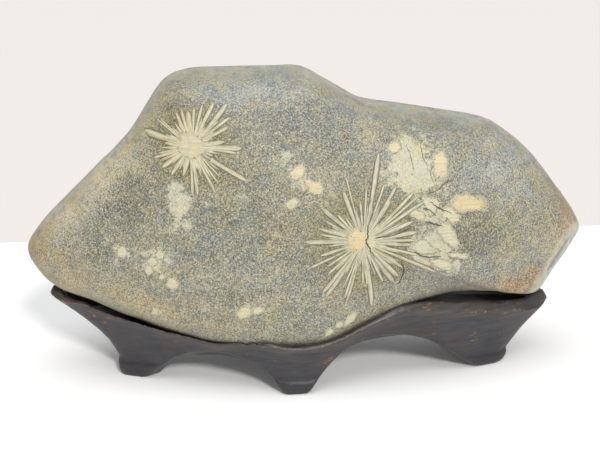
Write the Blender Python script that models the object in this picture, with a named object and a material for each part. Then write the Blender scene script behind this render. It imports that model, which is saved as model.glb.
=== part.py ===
"""Chrysanthemum stone (kikka-seki) resting in its carved wooden stand (daiza).

World frame: metres, +Z up, the stand's feet on z = 0 and the origin under the middle of the whole.
+X runs along the longer side, and -Y is the show side with the two crystal flowers. The driving
dimensions below are in millimetres, in the frame of the drawing, whose x = 0 is the stand's middle.
"""
import math

import bmesh
import bpy
import numpy as np
from mathutils import Matrix, Vector
from mathutils.bvhtree import BVHTree

MM = 0.001
OBJECT_NAME = "chrysanthemum_stone"
CUTTERS_NAME = "construction_forms"
MIDDLE = (2.3, -0.5)             # x, y (mm) in the drawing of the point that the origin lies under

# ---------------------------------------------------------------- stone, driving dimensions (mm)
# Outline of the boulder seen from the show side as (x, z), from the right tip anticlockwise.
STONE_OUTLINE = (
    (155, 74), (150.5, 84), (144.5, 92.8), (137.5, 101.8), (130, 111.3), (120, 122), (108, 132), (96, 138.5),
    (74, 142.5), (52, 146), (30, 150), (19, 155.5), (8, 162), (-3, 167.2), (-20, 167.8), (-42, 167.5),
    (-61, 166.8), (-73, 162.5), (-82.5, 151.5), (-91.5, 137), (-99, 128.5), (-116, 112), (-132, 96.5),
    (-144, 83), (-150, 73), (-147, 63), (-137.5, 52), (-118, 43.2),
    (-100, 35.2), (-78, 26.3), (-52, 20.2), (-22, 17.8), (6, 18.8), (30, 27.5), (56, 36.8),
    (83, 43), (110, 42), (122, 39.5), (133, 40), (143, 54), (151, 65),
)
STONE_CENTRE = (0.0, 95.0)       # x, z of the point that the two faces bulge around
HALF_DEPTH = 47.0                # from the outline's plane to either face at the centre
DEPTH_LEAN = 0.10                # mm of half depth gained for each mm lower down the face
END_THINNING = 0.0009            # share of the depth lost towards the ends, per mm squared / 100
CROWN_POWERS = (2.4, 2.2)        # superellipse powers of the section over the crown
BASE_POWERS = (4.8, 3.6)         # the same under the belly, where the stone is squarer
BELLY_MIDDLE = -15.0             # x of the squarest section
BELLY_REACH = 72.0               # how far along x the square belly reaches
STONE_DIVISIONS = 17             # squares along each side of the cube that the boulder starts from

# Soft swells (+) and hollows (-) of a face: x, z, reach along x, reach along z, height.
FRONT_SWELLS = (
    (-98, 108, 9, 30, -3.2),     # valley behind the left shoulder
    (-125, 75, 22, 18, 1.6),     # left lobe
    (-20, 148, 10, 22, -1.8),    # saddle between the two humps of the crown
    (-58, 140, 22, 16, 1.6),     # left hump
    (40, 120, 26, 12, -1.8),     # hollow under the right shoulder
    (95, 105, 28, 20, 1.8),      # right hump
    (-45, 78, 26, 22, -1.4),     # shallow dish at the middle
    (32, 78, 30, 24, 1.6),       # swell under the large flower
    (118, 62, 18, 14, -1.6),     # dip before the right tip
)
BACK_SWELLS = (
    (-70, 125, 26, 24, 4.5),
    (-25, 95, 34, 18, -4.0),
    (25, 125, 28, 20, 3.0),
    (70, 75, 34, 22, 4.0),
    (112, 100, 22, 24, -3.5),
    (-100, 68, 28, 16, -3.5),
)
BREAK_POINT = (147.6, -13.1, 76.4)     # a point of the old fracture facet at the right end
BREAK_NORMAL = (0.73, -0.57, -0.38)    # the facet looks right, forward and down
SCAR_CENTRE = (136.7, -15.2, 60.3)     # middle of the long pit across the facet
SCAR_RUN = (0.556, 0.163, 0.815)       # direction of the pit, in the facet's plane
SCAR_SIZE = (19.0, 3.8, 3.4)           # length, width and height of the lens that leaves the pit

# ---------------------------------------------------------------- crystals, driving dimensions (mm)
CRYSTAL_RISE = 0.8               # ridge of a crystal above the stone around it
CRYSTAL_ROOT = 0.8               # how deep each crystal is rooted in the stone
BLADE_STATION = 12.0             # longest run of a blade between two cross-sections
# A flower is (centre x, centre z, radius of its core), then its blades as (angle in degrees from +X,
# distance from the centre to the tip, width).
SMALL_FLOWER = (-61.0, 133.0, 9.0)
SMALL_FLOWER_BLADES = (
    (166, 23.5, 3.8), (146, 20, 1.6), (114, 17, 2.0), (103, 18, 2.0), (93, 16.5, 3.4), (82, 18.5, 2.0),
    (72, 20.5, 1.8), (62, 23.5, 2.4), (46, 27, 3.0), (38, 24, 2.2), (28, 21, 2.2), (9, 16.5, 2.6),
    (1, 24.5, 3.2), (-50, 22, 1.6), (-63, 25, 2.2), (-84, 23.5, 2.2), (-91, 23.5, 2.0),
    (-107, 15, 2.6), (-125, 17.5, 2.4), (-143, 18.5, 3.2), (-158, 20, 2.0), (-169, 16, 1.8),
)
LARGE_FLOWER = (24.5, 85.0, 5.5)
LARGE_FLOWER_BLADES = (
    (77, 43.5, 3.2), (57, 30, 3.0), (40, 35, 2.4), (31, 37, 2.4), (8, 28, 2.6), (0, 27, 2.0),
    (-8, 26, 2.2), (-24, 43, 3.0), (-46, 27.5, 3.0), (-55, 28.5, 3.2), (-65, 24.5, 2.0), (-79, 36, 3.2),
    (-91, 22.5, 1.8), (-103, 34, 2.2), (-110, 31, 2.2), (-121, 33.5, 3.0), (-129, 33, 2.6),
    (-154, 29.5, 2.0), (-165, 22.5, 2.4), (177, 29, 3.2), (161, 23.5, 2.6), (140, 27.5, 3.2),
    (113, 27, 3.2), (92, 20, 1.8),
)
# Crystals that lie apart from the flowers: centre x, centre z, length, width, turn in degrees, sides.
SLABS = (
    (-42.5, 121.8, 20.0, 2.8, -30, 4),     # long bar beside the small flower
    (50.0, 116.0, 24.0, 17.0, 10, 9),      # cloudy mass
    (66.5, 120.5, 19.0, 8.5, 86, 7),
    (80.0, 101.0, 23.0, 9.5, 6, 6),
    (60.5, 100.5, 12.0, 10.0, 30, 6),
    (68.0, 93.0, 15.0, 6.0, -14, 6),
    (69.0, 84.0, 14.0, 6.5, -52, 5),
    (56.0, 80.5, 10.0, 6.0, 12, 6),
    (65.0, 70.0, 15.0, 6.0, -10, 6),
    (-9.0, 120.5, 7.5, 6.5, 40, 6),        # scattered small crystals
    (-0.5, 113.5, 9.5, 7.5, -20, 7),
    (-12.0, 105.0, 8.0, 5.0, 10, 6),
    (-73.0, 63.5, 5.0, 5.0, 20, 5),
    (-36.5, 48.5, 8.0, 6.5, 30, 6),
    (-79.0, 77.0, 6.5, 5.0, 60, 5),
    (-97.5, 79.0, 5.5, 4.0, 70, 5),
)

# ---------------------------------------------------------------- stand, driving dimensions (mm)
# Frames of the stand from the left tip along the show side to the right tip. Each one has the worn
# ridge (x, y, z), the rise of the crest above it, and the lower edge (x, y, z): arches and feet.
STAND_FRAMES = (
    (-140.5, 0.0, 45.6, 5.6, -103.6, 0.0, 12.0),
    (-139.8, -3.0, 45.4, 5.4, -104.0, -4.0, 11.0),
    (-137.0, -6.0, 44.2, 5.2, -104.2, -7.0, 6.5),
    (-132.5, -9.0, 42.8, 2.6, -104.0, -9.5, 1.0),
    (-126.0, -12.0, 43.0, 0.9, -101.5, -12.5, 0.0),
    (-117.0, -15.8, 43.2, 0.9, -97.0, -14.6, 0.0),
    (-108.0, -19.5, 40.8, 0.9, -91.5, -16.8, 0.0),
    (-100.0, -22.8, 38.3, 0.9, -86.5, -19.4, 3.6),
    (-92.0, -25.8, 36.0, 0.8, -81.5, -22.2, 9.0),
    (-80.0, -30.2, 33.4, 0.8, -73.0, -26.4, 16.0),
    (-66.0, -35.2, 30.6, 0.8, -62.5, -31.0, 20.7),
    (-52.0, -39.9, 27.2, 0.8, -50.5, -35.8, 22.1),
    (-42.0, -42.8, 29.1, 0.8, -41.5, -38.9, 20.6),
    (-34.0, -44.9, 31.2, 0.8, -33.5, -41.2, 18.2),
    (-25.0, -47.0, 30.0, 0.8, -25.0, -43.4, 12.8),
    (-18.0, -48.4, 28.0, 0.8, -18.3, -45.0, 3.6),
    (-14.0, -49.0, 27.4, 0.8, -14.5, -46.0, 0.0),
    (-6.0, -49.2, 27.2, 0.8, -6.0, -46.4, 0.0),
    (-1.5, -49.0, 27.5, 0.9, -1.6, -46.0, 1.6),
    (5.0, -48.3, 28.4, 1.0, 4.4, -44.8, 10.6),
    (14.0, -47.0, 30.5, 1.2, 13.6, -42.8, 20.2),
    (25.0, -45.2, 34.9, 1.4, 24.5, -40.4, 27.0),
    (36.0, -42.8, 38.6, 2.4, 35.0, -37.8, 28.8),
    (48.0, -39.6, 41.7, 3.6, 47.0, -34.6, 27.4),
    (60.0, -36.4, 41.2, 5.0, 58.5, -31.6, 24.2),
    (76.0, -32.0, 39.2, 5.4, 74.0, -27.6, 16.2),
    (90.0, -27.8, 36.6, 6.2, 87.5, -23.6, 6.0),
    (99.0, -25.0, 35.0, 6.4, 95.5, -20.6, 0.4),
    (108.0, -21.8, 33.6, 6.4, 101.5, -18.6, 0.0),
    (117.0, -18.2, 32.2, 6.2, 107.5, -16.4, 0.0),
    (125.0, -14.2, 30.6, 6.6, 112.2, -12.8, 1.0),
    (131.5, -10.4, 29.8, 7.6, 114.4, -9.6, 6.0),
    (136.0, -6.6, 31.4, 6.8, 114.6, -7.0, 11.0),
    (138.6, -3.2, 33.0, 4.8, 114.6, -4.0, 12.8),
    (139.2, 0.0, 33.4, 4.4, 114.6, 0.0, 13.2),
)
FRAME_STEPS = 2                  # stations between one frame and the next
RIM_WIDTH = 4.2                  # crest to the seat side of the rim
RIDGE_RUN = 0.8                  # inward run of the bevel where the crest doesn't rise
BEVEL_SHARE = 0.42               # further inward run for each mm that the crest rises
OWN_SIDE_SHARE = 0.3             # a tip's rim keeps this share of its ridge's distance from the middle
ANKLES = (11.0, 5.0)             # height of the feet's straight part at the left and right ends
WALL_POWERS = (1.5, 1.15)        # hollowness of the outer wall at the left and right ends
FOOT_SWELL = 0.5                 # how far the pad of a foot swells out under its ankle
RIM_DROP = 4.5                   # seat side of the rim, below the crest
FOOT_DEPTHS = (13.0, 8.5)        # thickness of a middle foot and of an end foot, from the outside
APRON_DEPTH = 6.5                # the same for the thin apron over an arch
INNER_DRAFT = 1.5                # how far the inner wall leans in towards the underside
# Heights along the middle line, as (x, z): the underside, and the deck that the seat is cut into.
UNDERSIDE = ((-100, 19), (-60, 14.5), (-35, 12.5), (-10, 12.5), (6, 14.8), (14, 16), (34, 20.5), (60, 23),
             (105, 20))
ARCH_FALL = (0.4, 3.0)           # an arch's ceiling falls inwards: share of its height over the belly, limit
DECK = ((-112, 39.5), (-80, 30), (-45, 24.5), (-10, 24), (14, 26), (34, 31), (60, 36.5), (112, 36))
SPINE_ENDS = (-86.0, 98.0)       # where the middle line of the stand's faces ends
DECK_ENDS = (-118.0, 118.0)
SEAT_GAP = 0.3                   # clearance between the stone and the seat


# ---------------------------------------------------------------- curves
def smooth_chain(rows, steps, closed):
    """Points of a Catmull-Rom curve through the rows, with the given steps from row to row."""
    rows = np.asarray(rows, float)
    if closed:
        padded = np.vstack([rows[-1:], rows, rows[:2]])
    else:
        padded = np.vstack([2 * rows[:1] - rows[1:2], rows, 2 * rows[-1:] - rows[-2:-1]])
    points = []
    for before, start, end, after in zip(padded, padded[1:], padded[2:], padded[3:]):
        for step in range(steps):
            u = step / steps
            points.append(0.5 * (2 * start + (end - before) * u
                                 + (2 * before - 5 * start + 4 * end - after) * u ** 2
                                 + (3 * start - before - 3 * end + after) * u ** 3))
    points.append(rows[0] if closed else rows[-1])
    return np.array(points)


OUTLINE_CURVE = smooth_chain(STONE_OUTLINE, 12, closed=True)


def outline_points(share):
    """Points (x, z) of the stone's outline at the given shares of its length, from the right tip."""
    length = np.concatenate([[0.0], np.cumsum(np.hypot(*np.diff(OUTLINE_CURVE, axis=0).T))])
    at = (share % 1.0) * length[-1]
    return np.interp(at, length, OUTLINE_CURVE[:, 0]), np.interp(at, length, OUTLINE_CURVE[:, 1])


# ---------------------------------------------------------------- stone surface
def swells(x, z, table):
    """Height of the soft swells and hollows of one face, in mm."""
    height = np.zeros_like(x)
    for centre_x, centre_z, reach_x, reach_z, top in table:
        height += top * np.exp(-((x - centre_x) / reach_x) ** 2 - ((z - centre_z) / reach_z) ** 2)
    return height


def section_powers(edge_x, edge_z):
    """Superellipse powers of the section that ends at the given outline points."""
    edge_angle = np.arctan2(edge_z - STONE_CENTRE[1], edge_x - STONE_CENTRE[0])
    belly = (0.5 - 0.5 * np.sin(edge_angle)) ** 1.5
    belly *= np.exp(-((edge_x - BELLY_MIDDLE) / BELLY_REACH) ** 2)
    run_power = CROWN_POWERS[0] + (BASE_POWERS[0] - CROWN_POWERS[0]) * belly
    depth_power = CROWN_POWERS[1] + (BASE_POWERS[1] - CROWN_POWERS[1]) * belly
    return run_power, depth_power


def half_depth(x, z, table):
    """Distance from the outline's plane to a face, before the section rounds it off."""
    lean = HALF_DEPTH - DEPTH_LEAN * (z - STONE_CENTRE[1])
    return lean * (1 - END_THINNING * (x / 10) ** 2) + swells(x, z, table)


def stone_surface(directions):
    """Points of the boulder, in mm, for unit directions from its middle."""
    edge_x, edge_z = outline_points(np.arctan2(directions[:, 2], directions[:, 0]) / (2 * math.pi))
    run_power, depth_power = section_powers(edge_x, edge_z)
    latitude = np.arccos(np.clip(np.hypot(directions[:, 0], directions[:, 2]), 0.0, 1.0))
    share = np.cos(latitude) ** (2 / run_power)
    bulge = np.sin(latitude) ** (2 / depth_power)
    x = STONE_CENTRE[0] + (edge_x - STONE_CENTRE[0]) * share
    z = STONE_CENTRE[1] + (edge_z - STONE_CENTRE[1]) * share
    front = half_depth(x, z, FRONT_SWELLS) * bulge
    back = half_depth(x, z, BACK_SWELLS) * bulge
    return np.stack([x, np.where(directions[:, 1] < 0, -front, back), z], axis=1)


def boulder_mesh(name, grow):
    """The boulder as a divided cube pressed onto its surface, then grown outwards by grow mm."""
    cube = bmesh.new()
    bmesh.ops.create_cube(cube, size=2.0)
    bmesh.ops.subdivide_edges(cube, edges=cube.edges[:], cuts=STONE_DIVISIONS - 1, use_grid_fill=True)
    corners = np.array([vertex.co for vertex in cube.verts])
    corners = np.tan(corners * math.pi / 4)
    directions = corners / np.linalg.norm(corners, axis=1)[:, None]
    for vertex, point in zip(cube.verts, stone_surface(directions)):
        vertex.co = Vector(point) * MM
    everything = cube.verts[:] + cube.edges[:] + cube.faces[:]
    bmesh.ops.bisect_plane(cube, geom=everything, dist=1e-7, plane_co=Vector(BREAK_POINT) * MM,
                           plane_no=BREAK_NORMAL, clear_outer=True)
    bmesh.ops.holes_fill(cube, edges=[edge for edge in cube.edges if edge.is_boundary])
    bmesh.ops.recalc_face_normals(cube, faces=cube.faces[:])
    cube.normal_update()
    if grow:
        normals = [vertex.normal.copy() for vertex in cube.verts]
        for vertex, normal in zip(cube.verts, normals):
            vertex.co += normal * grow * MM
    mesh = bpy.data.meshes.new(name)
    cube.to_mesh(mesh)
    cube.free()
    return mesh


# ---------------------------------------------------------------- crystals
def on_face(skin, bm, flat, rise):
    """Vertices over the flat (x, z) points, raised by rise mm from the show face of the skin."""
    vertices = []
    for (x, z), height in zip(flat, rise):
        point, normal = skin.ray_cast(Vector((x, -2 * HALF_DEPTH, z)) * MM, Vector((0, 1, 0)))[:2]
        vertices.append(bm.verts.new(point + normal * height * MM))
    return vertices


def add_blade(skin, bm, centre, angle, start, reach, width):
    """A lath-shaped crystal: a low roof along a ray of its flower, from root to blunt tip."""
    ray = np.array([math.cos(math.radians(angle)), math.sin(math.radians(angle))])
    side = np.array([-ray[1], ray[0]]) * width * (0.5 + 0.5 * CRYSTAL_ROOT / CRYSTAL_RISE)
    stations = max(1, math.ceil((reach - start) / BLADE_STATION))
    rings = []
    for station in range(stations + 1):
        share = station / stations
        middle = np.array(centre[:2]) + ray * (start + (reach - start) * share)
        spread = side * (0.7 + 0.3 * share)
        rings.append(on_face(skin, bm, (middle + spread, middle, middle - spread),
                             (-CRYSTAL_ROOT, CRYSTAL_RISE, -CRYSTAL_ROOT)))
    for ring, following in zip(rings, rings[1:]):
        for corner in range(3):
            after = (corner + 1) % 3
            bm.faces.new((ring[corner], ring[after], following[after], following[corner]))
    bm.faces.new(rings[0][::-1])
    bm.faces.new(rings[-1])


def add_slab(skin, bm, x, z, length, width, turn, sides):
    """A low crystal block with an uneven outline of the given number of sides."""
    corners = []
    turned = math.radians(turn)
    for corner in range(sides):
        around = 2 * math.pi * (corner + 0.5) / sides
        uneven = 1 + 0.13 * math.sin(5.1 * corner + x)
        along = 0.5 * length * math.cos(around) * uneven / math.cos(math.pi / sides) ** 0.5
        across = 0.5 * width * math.sin(around) * uneven / math.cos(math.pi / sides) ** 0.5
        corners.append((x + along * math.cos(turned) - across * math.sin(turned),
                        z + along * math.sin(turned) + across * math.cos(turned)))
    middle = np.array([x, z])
    inner = [middle + (np.array(corner) - middle) * 0.8 for corner in corners]
    root = on_face(skin, bm, corners, [-CRYSTAL_ROOT] * sides)
    top = on_face(skin, bm, inner, [CRYSTAL_RISE] * sides)
    crown = on_face(skin, bm, [middle], [CRYSTAL_RISE])[0]
    base = on_face(skin, bm, [middle], [-CRYSTAL_ROOT])[0]
    for corner in range(sides):
        after = (corner + 1) % sides
        bm.faces.new((root[corner], root[after], top[after], top[corner]))
        bm.faces.new((top[corner], top[after], crown))
        bm.faces.new((root[after], root[corner], base))


def add_flower(skin, bm, flower, blades):
    """The core of a flower and the blades that radiate from it."""
    x, z, core = flower
    add_slab(skin, bm, x, z, 2 * core, 2 * core, 0, 9)
    for angle, reach, width in blades:
        add_blade(skin, bm, flower, angle, 0.55 * core, reach, width)


def crystal_mesh(name, skin, fill):
    """A mesh of crystals that the fill function adds, all facing outwards."""
    bm = bmesh.new()
    fill(skin, bm)
    bmesh.ops.recalc_face_normals(bm, faces=bm.faces[:])
    mesh = bpy.data.meshes.new(name)
    bm.to_mesh(mesh)
    bm.free()
    return mesh


def add_small_flower(skin, bm):
    add_flower(skin, bm, SMALL_FLOWER, SMALL_FLOWER_BLADES)


def add_large_flower(skin, bm):
    add_flower(skin, bm, LARGE_FLOWER, LARGE_FLOWER_BLADES)


def add_scattered(skin, bm):
    for slab in SLABS:
        add_slab(skin, bm, *slab)


def scar_mesh(name):
    """A lens laid along the facet, whose lower half leaves the long pit."""
    run = Vector(SCAR_RUN).normalized()
    out = Vector(BREAK_NORMAL).normalized()
    across = out.cross(run).normalized()
    axes = Matrix((run, across, run.cross(across))).transposed()
    lens = bmesh.new()
    bmesh.ops.create_uvsphere(lens, u_segments=12, v_segments=6, radius=0.5)
    for vertex in lens.verts:
        stretched = Vector(vertex.co[i] * SCAR_SIZE[i] for i in range(3))
        vertex.co = (Vector(SCAR_CENTRE) + axes @ stretched) * MM
    mesh = bpy.data.meshes.new(name)
    lens.to_mesh(mesh)
    lens.free()
    return mesh


# ---------------------------------------------------------------- stand
def level(table, x):
    """Height at x of a profile given as (x, z) points."""
    curve = smooth_chain(table, 8, closed=False)
    return float(np.interp(x, curve[:, 0], curve[:, 1]))


def set_in(point, inward, distance, rise):
    """The point moved inwards and up, kept on its own side of the stand's middle plane."""
    moved = point + inward * distance + Vector((0, 0, rise))
    moved.y = min(moved.y, OWN_SIDE_SHARE * point.y)
    return moved


def frame_profile(frame, inward):
    """Points of one frame of the stand, from the middle of the deck round to the underside."""
    ridge_x, ridge_y, ridge_z, rise, low_x, low_y, low_z = frame
    ridge = Vector((ridge_x, ridge_y, ridge_z))
    low = Vector((low_x, low_y, low_z))
    inward = Vector((inward[0], inward[1], 0.0))
    bevel_run = RIDGE_RUN + BEVEL_SHARE * rise
    crest = set_in(ridge, inward, bevel_run, rise)
    rim = set_in(ridge, inward, bevel_run + 0.7 * RIM_WIDTH, rise - 0.3)
    rim_foot = set_in(ridge, inward, bevel_run + RIM_WIDTH, rise - RIM_DROP)
    run = (ridge_x + 140.5) / 280.1
    deck_x = DECK_ENDS[0] + (DECK_ENDS[1] - DECK_ENDS[0]) * run
    deck = Vector((deck_x, 0, level(DECK, deck_x)))
    ankle = max(low_z, ANKLES[0] + (ANKLES[1] - ANKLES[0]) * run)
    power = WALL_POWERS[0] + (WALL_POWERS[1] - WALL_POWERS[0]) * run
    wall = []
    for fall in (0.3, 0.65, 1.0):
        inset = 1 - (1 - fall) ** power
        wall.append(Vector((*ridge.lerp(low, inset).xy, ridge_z + (ankle - ridge_z) * fall)))
    swell = FOOT_SWELL * min(1.0, (ankle - low_z) / 4)
    wall.append(Vector((*(low - inward * swell).xy, low_z + 0.45 * (ankle - low_z))))
    footing = max(0.0, min(1.0, (14.0 - low_z) / 12.0))
    foot = FOOT_DEPTHS[0] + (FOOT_DEPTHS[1] - FOOT_DEPTHS[0]) * min(1.0, abs(2 * run - 1) * 1.5)
    thick = APRON_DEPTH + (foot - APRON_DEPTH) * footing
    spine_x = SPINE_ENDS[0] + (SPINE_ENDS[1] - SPINE_ENDS[0]) * run
    under = Vector((spine_x, 0, level(UNDERSIDE, spine_x)))
    to_spine = Vector((*(under - low).xy, 0.0))
    low_in = low + to_spine * min(0.8, thick / to_spine.length)
    inner_top = low + to_spine * min(0.9, (thick + INNER_DRAFT) / to_spine.length)
    inner_top.z = max(min(low_z, under.z), 0.5 * (low_z + under.z), under.z - 1.0)
    if low_z > under.z:
        low_in.z -= min(ARCH_FALL[1], ARCH_FALL[0] * (low_z - under.z))
        inner_top.z = low_in.z + 0.4 * (under.z - low_in.z)
    belly = inner_top.lerp(under, 0.45)
    belly.z = under.z + 0.25 * (inner_top.z - under.z)
    return [deck, rim_foot, rim, crest, ridge] + wall + [low, low_in, inner_top, belly, under]


def stand_mesh(name):
    """The stand as a loft of frames from the left tip round the show side and back."""
    frames = smooth_chain(STAND_FRAMES, FRAME_STEPS, closed=False)
    frames[:, 6] = np.maximum(frames[:, 6], 0.0)
    tangents = np.gradient(frames[:, :2], axis=0)
    tangents[0] = (0.0, -1.0)
    tangents[-1] = (0.0, 1.0)
    tangents /= np.linalg.norm(tangents, axis=1)[:, None]
    inwards = np.stack([-tangents[:, 1], tangents[:, 0]], axis=1)
    show_side = [frame_profile(frame, inward) for frame, inward in zip(frames, inwards)]
    back_side = [[Vector((p.x, -p.y, p.z)) for p in profile] for profile in show_side[-2:0:-1]]
    profiles = show_side + back_side
    loft = bmesh.new()
    rings = [[loft.verts.new(point * MM) for point in profile] for profile in profiles]
    for ring, following in zip(rings, rings[1:] + rings[:1]):
        for row in range(len(ring) - 1):
            loft.faces.new((ring[row], ring[row + 1], following[row + 1], following[row]))
    bmesh.ops.remove_doubles(loft, verts=loft.verts[:], dist=0.00001)
    bmesh.ops.recalc_face_normals(loft, faces=loft.faces[:])
    mesh = bpy.data.meshes.new(name)
    loft.to_mesh(mesh)
    loft.free()
    return mesh


# ---------------------------------------------------------------- scene objects
def material(name, colour, roughness):
    finish = bpy.data.materials.new(name)
    finish.use_nodes = True
    shader = finish.node_tree.nodes["Principled BSDF"]
    shader.inputs["Base Color"].default_value = (*colour, 1.0)
    shader.inputs["Roughness"].default_value = roughness
    shader.inputs["Metallic"].default_value = 0.0
    return finish


def place(name, mesh, collection, finish=None):
    piece = bpy.data.objects.new(name, mesh)
    piece.location = Vector((-MIDDLE[0], -MIDDLE[1], 0.0)) * MM
    collection.objects.link(piece)
    if finish:
        mesh.materials.append(finish)
    else:
        piece.hide_render = True
        piece.display_type = "WIRE"
    return piece


def boolean(piece, operation, other):
    cut = piece.modifiers.new(operation.lower(), "BOOLEAN")
    cut.operation = operation
    cut.solver = "EXACT"
    cut.object = other
    return cut


def shade(mesh, angle):
    mesh.shade_smooth()
    mesh.set_sharp_from_angle(angle=math.radians(angle))


def main():
    for existing in list(bpy.data.objects):
        bpy.data.objects.remove(existing)
    parts = bpy.data.collections.new(OBJECT_NAME)
    cutters = bpy.data.collections.new(CUTTERS_NAME)
    for collection in (parts, cutters):
        bpy.context.scene.collection.children.link(collection)

    stone = place("stone", boulder_mesh("stone", 0.0), parts,
                  material("grey_olive_stone", (0.40, 0.38, 0.29), 0.55))
    scar = place("scar", scar_mesh("scar"), cutters)
    boolean(stone, "DIFFERENCE", scar)
    outlines = [polygon.vertices for polygon in stone.data.polygons]
    skin = BVHTree.FromPolygons([vertex.co for vertex in stone.data.vertices], outlines)
    for fill in (add_small_flower, add_large_flower, add_scattered):
        name = fill.__name__.replace("add_", "crystals_")
        form = place(name, crystal_mesh(name, skin, fill), cutters)
        boolean(stone, "UNION", form).use_self = True
    shade(stone.data, 40)

    stand = place("stand", stand_mesh("stand"), parts,
                  material("dark_stained_wood", (0.055, 0.045, 0.04), 0.42))
    seat_form = place("seat_form", boulder_mesh("seat_form", SEAT_GAP), cutters)
    boolean(stand, "DIFFERENCE", seat_form)
    shade(stand.data, 35)


if __name__ == "__main__":
    main()
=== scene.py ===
"""Looks of the chrysanthemum stone (kikka-seki) and its carved wooden stand (daiza).

The fine surfaces follow the same drawing as the solids: millimetres, with the stand's middle at
x = 0 and the show side towards -Y. `to_frame` turns drawing points into the frame's metres.
"""
import math
import random

import bmesh
import bpy
import numpy as np
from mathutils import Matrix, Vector, noise
from mathutils.bvhtree import BVHTree
from mathutils.kdtree import KDTree

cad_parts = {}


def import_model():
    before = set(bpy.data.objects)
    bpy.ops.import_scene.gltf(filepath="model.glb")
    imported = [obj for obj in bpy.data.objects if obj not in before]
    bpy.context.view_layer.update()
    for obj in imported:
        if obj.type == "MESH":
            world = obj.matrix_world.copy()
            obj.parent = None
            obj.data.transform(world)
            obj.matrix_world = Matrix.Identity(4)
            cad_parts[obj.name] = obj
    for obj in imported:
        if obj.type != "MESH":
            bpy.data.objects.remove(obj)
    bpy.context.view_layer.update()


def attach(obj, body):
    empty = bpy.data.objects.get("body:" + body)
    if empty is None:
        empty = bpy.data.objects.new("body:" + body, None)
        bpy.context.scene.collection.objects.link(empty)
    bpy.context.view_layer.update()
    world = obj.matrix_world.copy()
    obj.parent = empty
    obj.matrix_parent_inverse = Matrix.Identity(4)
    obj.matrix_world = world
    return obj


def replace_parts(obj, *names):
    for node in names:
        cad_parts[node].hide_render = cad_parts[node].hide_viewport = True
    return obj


MM = 0.001
MIDDLE = (2.3, -0.5)             # x, y of the drawing's point that the frame's origin lies under

# ---------------------------------------------------------------- stone, driving dimensions (mm)
STONE_OUTLINE = (
    (155, 74), (150.5, 84), (144.5, 92.8), (137.5, 101.8), (130, 111.3), (120, 122), (108, 132),
    (96, 138.5), (74, 142.5), (52, 146), (30, 150), (19, 155.5), (8, 162), (-3, 167.2), (-20, 167.8),
    (-42, 167.5), (-61, 166.8), (-73, 162.5), (-82.5, 151.5), (-91.5, 137), (-99, 128.5),
    (-116, 112), (-132, 96.5), (-144, 83), (-150, 73), (-147, 63), (-137.5, 52), (-118, 43.2),
    (-100, 35.2), (-78, 26.3), (-52, 20.2), (-22, 17.8), (6, 18.8), (30, 27.5), (56, 36.8),
    (83, 43), (110, 42), (122, 39.5), (133, 40), (143, 54), (151, 65),
)
OUTLINE_STEPS = 12               # curve points from one point of the outline to the next
STONE_CENTRE = (0.0, 95.0)
HALF_DEPTH = 47.0
DEPTH_LEAN = 0.10
END_THINNING = 0.0009
CROWN_POWERS = (2.4, 2.2)
BASE_POWERS = (4.8, 3.6)
BELLY_MIDDLE = -15.0
BELLY_REACH = 72.0
FRONT_SWELLS = (
    (-98, 108, 9, 30, -3.2), (-125, 75, 22, 18, 1.6), (-20, 148, 10, 22, -1.8),
    (-58, 140, 22, 16, 1.6), (40, 120, 26, 12, -1.8), (95, 105, 28, 20, 1.8),
    (-45, 78, 26, 22, -1.4), (32, 78, 30, 24, 1.6), (118, 62, 18, 14, -1.6),
)
BACK_SWELLS = (
    (-70, 125, 26, 24, 4.5), (-25, 95, 34, 18, -4.0), (25, 125, 28, 20, 3.0),
    (70, 75, 34, 22, 4.0), (112, 100, 22, 24, -3.5), (-100, 68, 28, 16, -3.5),
)
BREAK_POINT = (147.6, -13.1, 76.4)
BREAK_NORMAL = (0.73, -0.57, -0.38)
BREAK_SOFTNESS = 1.2             # reach of the worn edge round the fracture facet
SCAR_CENTRE = (139.5, -14.4, 62.9)
SCAR_RUN = (0.556, 0.163, 0.815)
SCAR_SIZE = (23.0, 9.0, 1.3)     # length, width and depth of the pair of grooves
SCAR_GROOVE = (0.5, 0.26)        # place and reach of a groove across the scar, as shares
SCAR_ZONE = 17.0                 # the skin's faces are finer this near the scar
SCAR_CUTS = 3
SKIN_DIVISIONS = 108             # squares along each side of the cube that the skin starts from
SEAT_DIVISIONS = 64              # the same for the form that cuts the seat
SEAT_GAP = 0.3
# The seat's edge stands further off the stone here: x, reach along x and extra gap.
SEAT_RELIEFS = ((-112.0, 46.0, 3.0), (95.0, 36.0, 3.2), (0.0, 60.0, 0.8))
# Fine wear of the skin: height and size of each order of its undulation.
UNDULATIONS = ((0.40, 19.0), (0.16, 6.0), (0.05, 2.6))

# ---------------------------------------------------------------- crystals, driving dimensions (mm)
BLADE_RISE = 0.42                # ridge of a large blade above the skin
BLADE_ROOT = 1.1                 # how deep the crystals are set into the skin
BLADE_STATION = 2.2              # length of a blade between two cross-sections
SMALL_FLOWER = (-61.0, 133.0, 9.5)
SMALL_FLOWER_BLADES = (
    (166, 23.5, 4.2), (146, 20, 1.3), (141, 19, 1.2), (114, 17, 2.0), (103, 18, 2.0), (93, 16.5, 3.6),
    (82, 18.5, 1.8), (72, 20.5, 1.6), (62, 23.5, 2.4), (46, 27, 2.8), (38, 24, 1.9), (28, 21, 2.0),
    (9, 16.5, 2.8), (1, 24.5, 3.4), (-5, 22.5, 1.6), (-46, 20, 1.1), (-52, 22, 1.2), (-63, 25, 2.0),
    (-84, 23.5, 2.2), (-91, 23.5, 1.8), (-107, 15, 2.4), (-125, 17.5, 2.2), (-143, 18.5, 2.8),
    (-151, 18, 1.6), (-158, 20, 1.8), (-164, 17, 1.5), (-171, 15, 1.6), (179, 13, 2.0),
)
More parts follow.
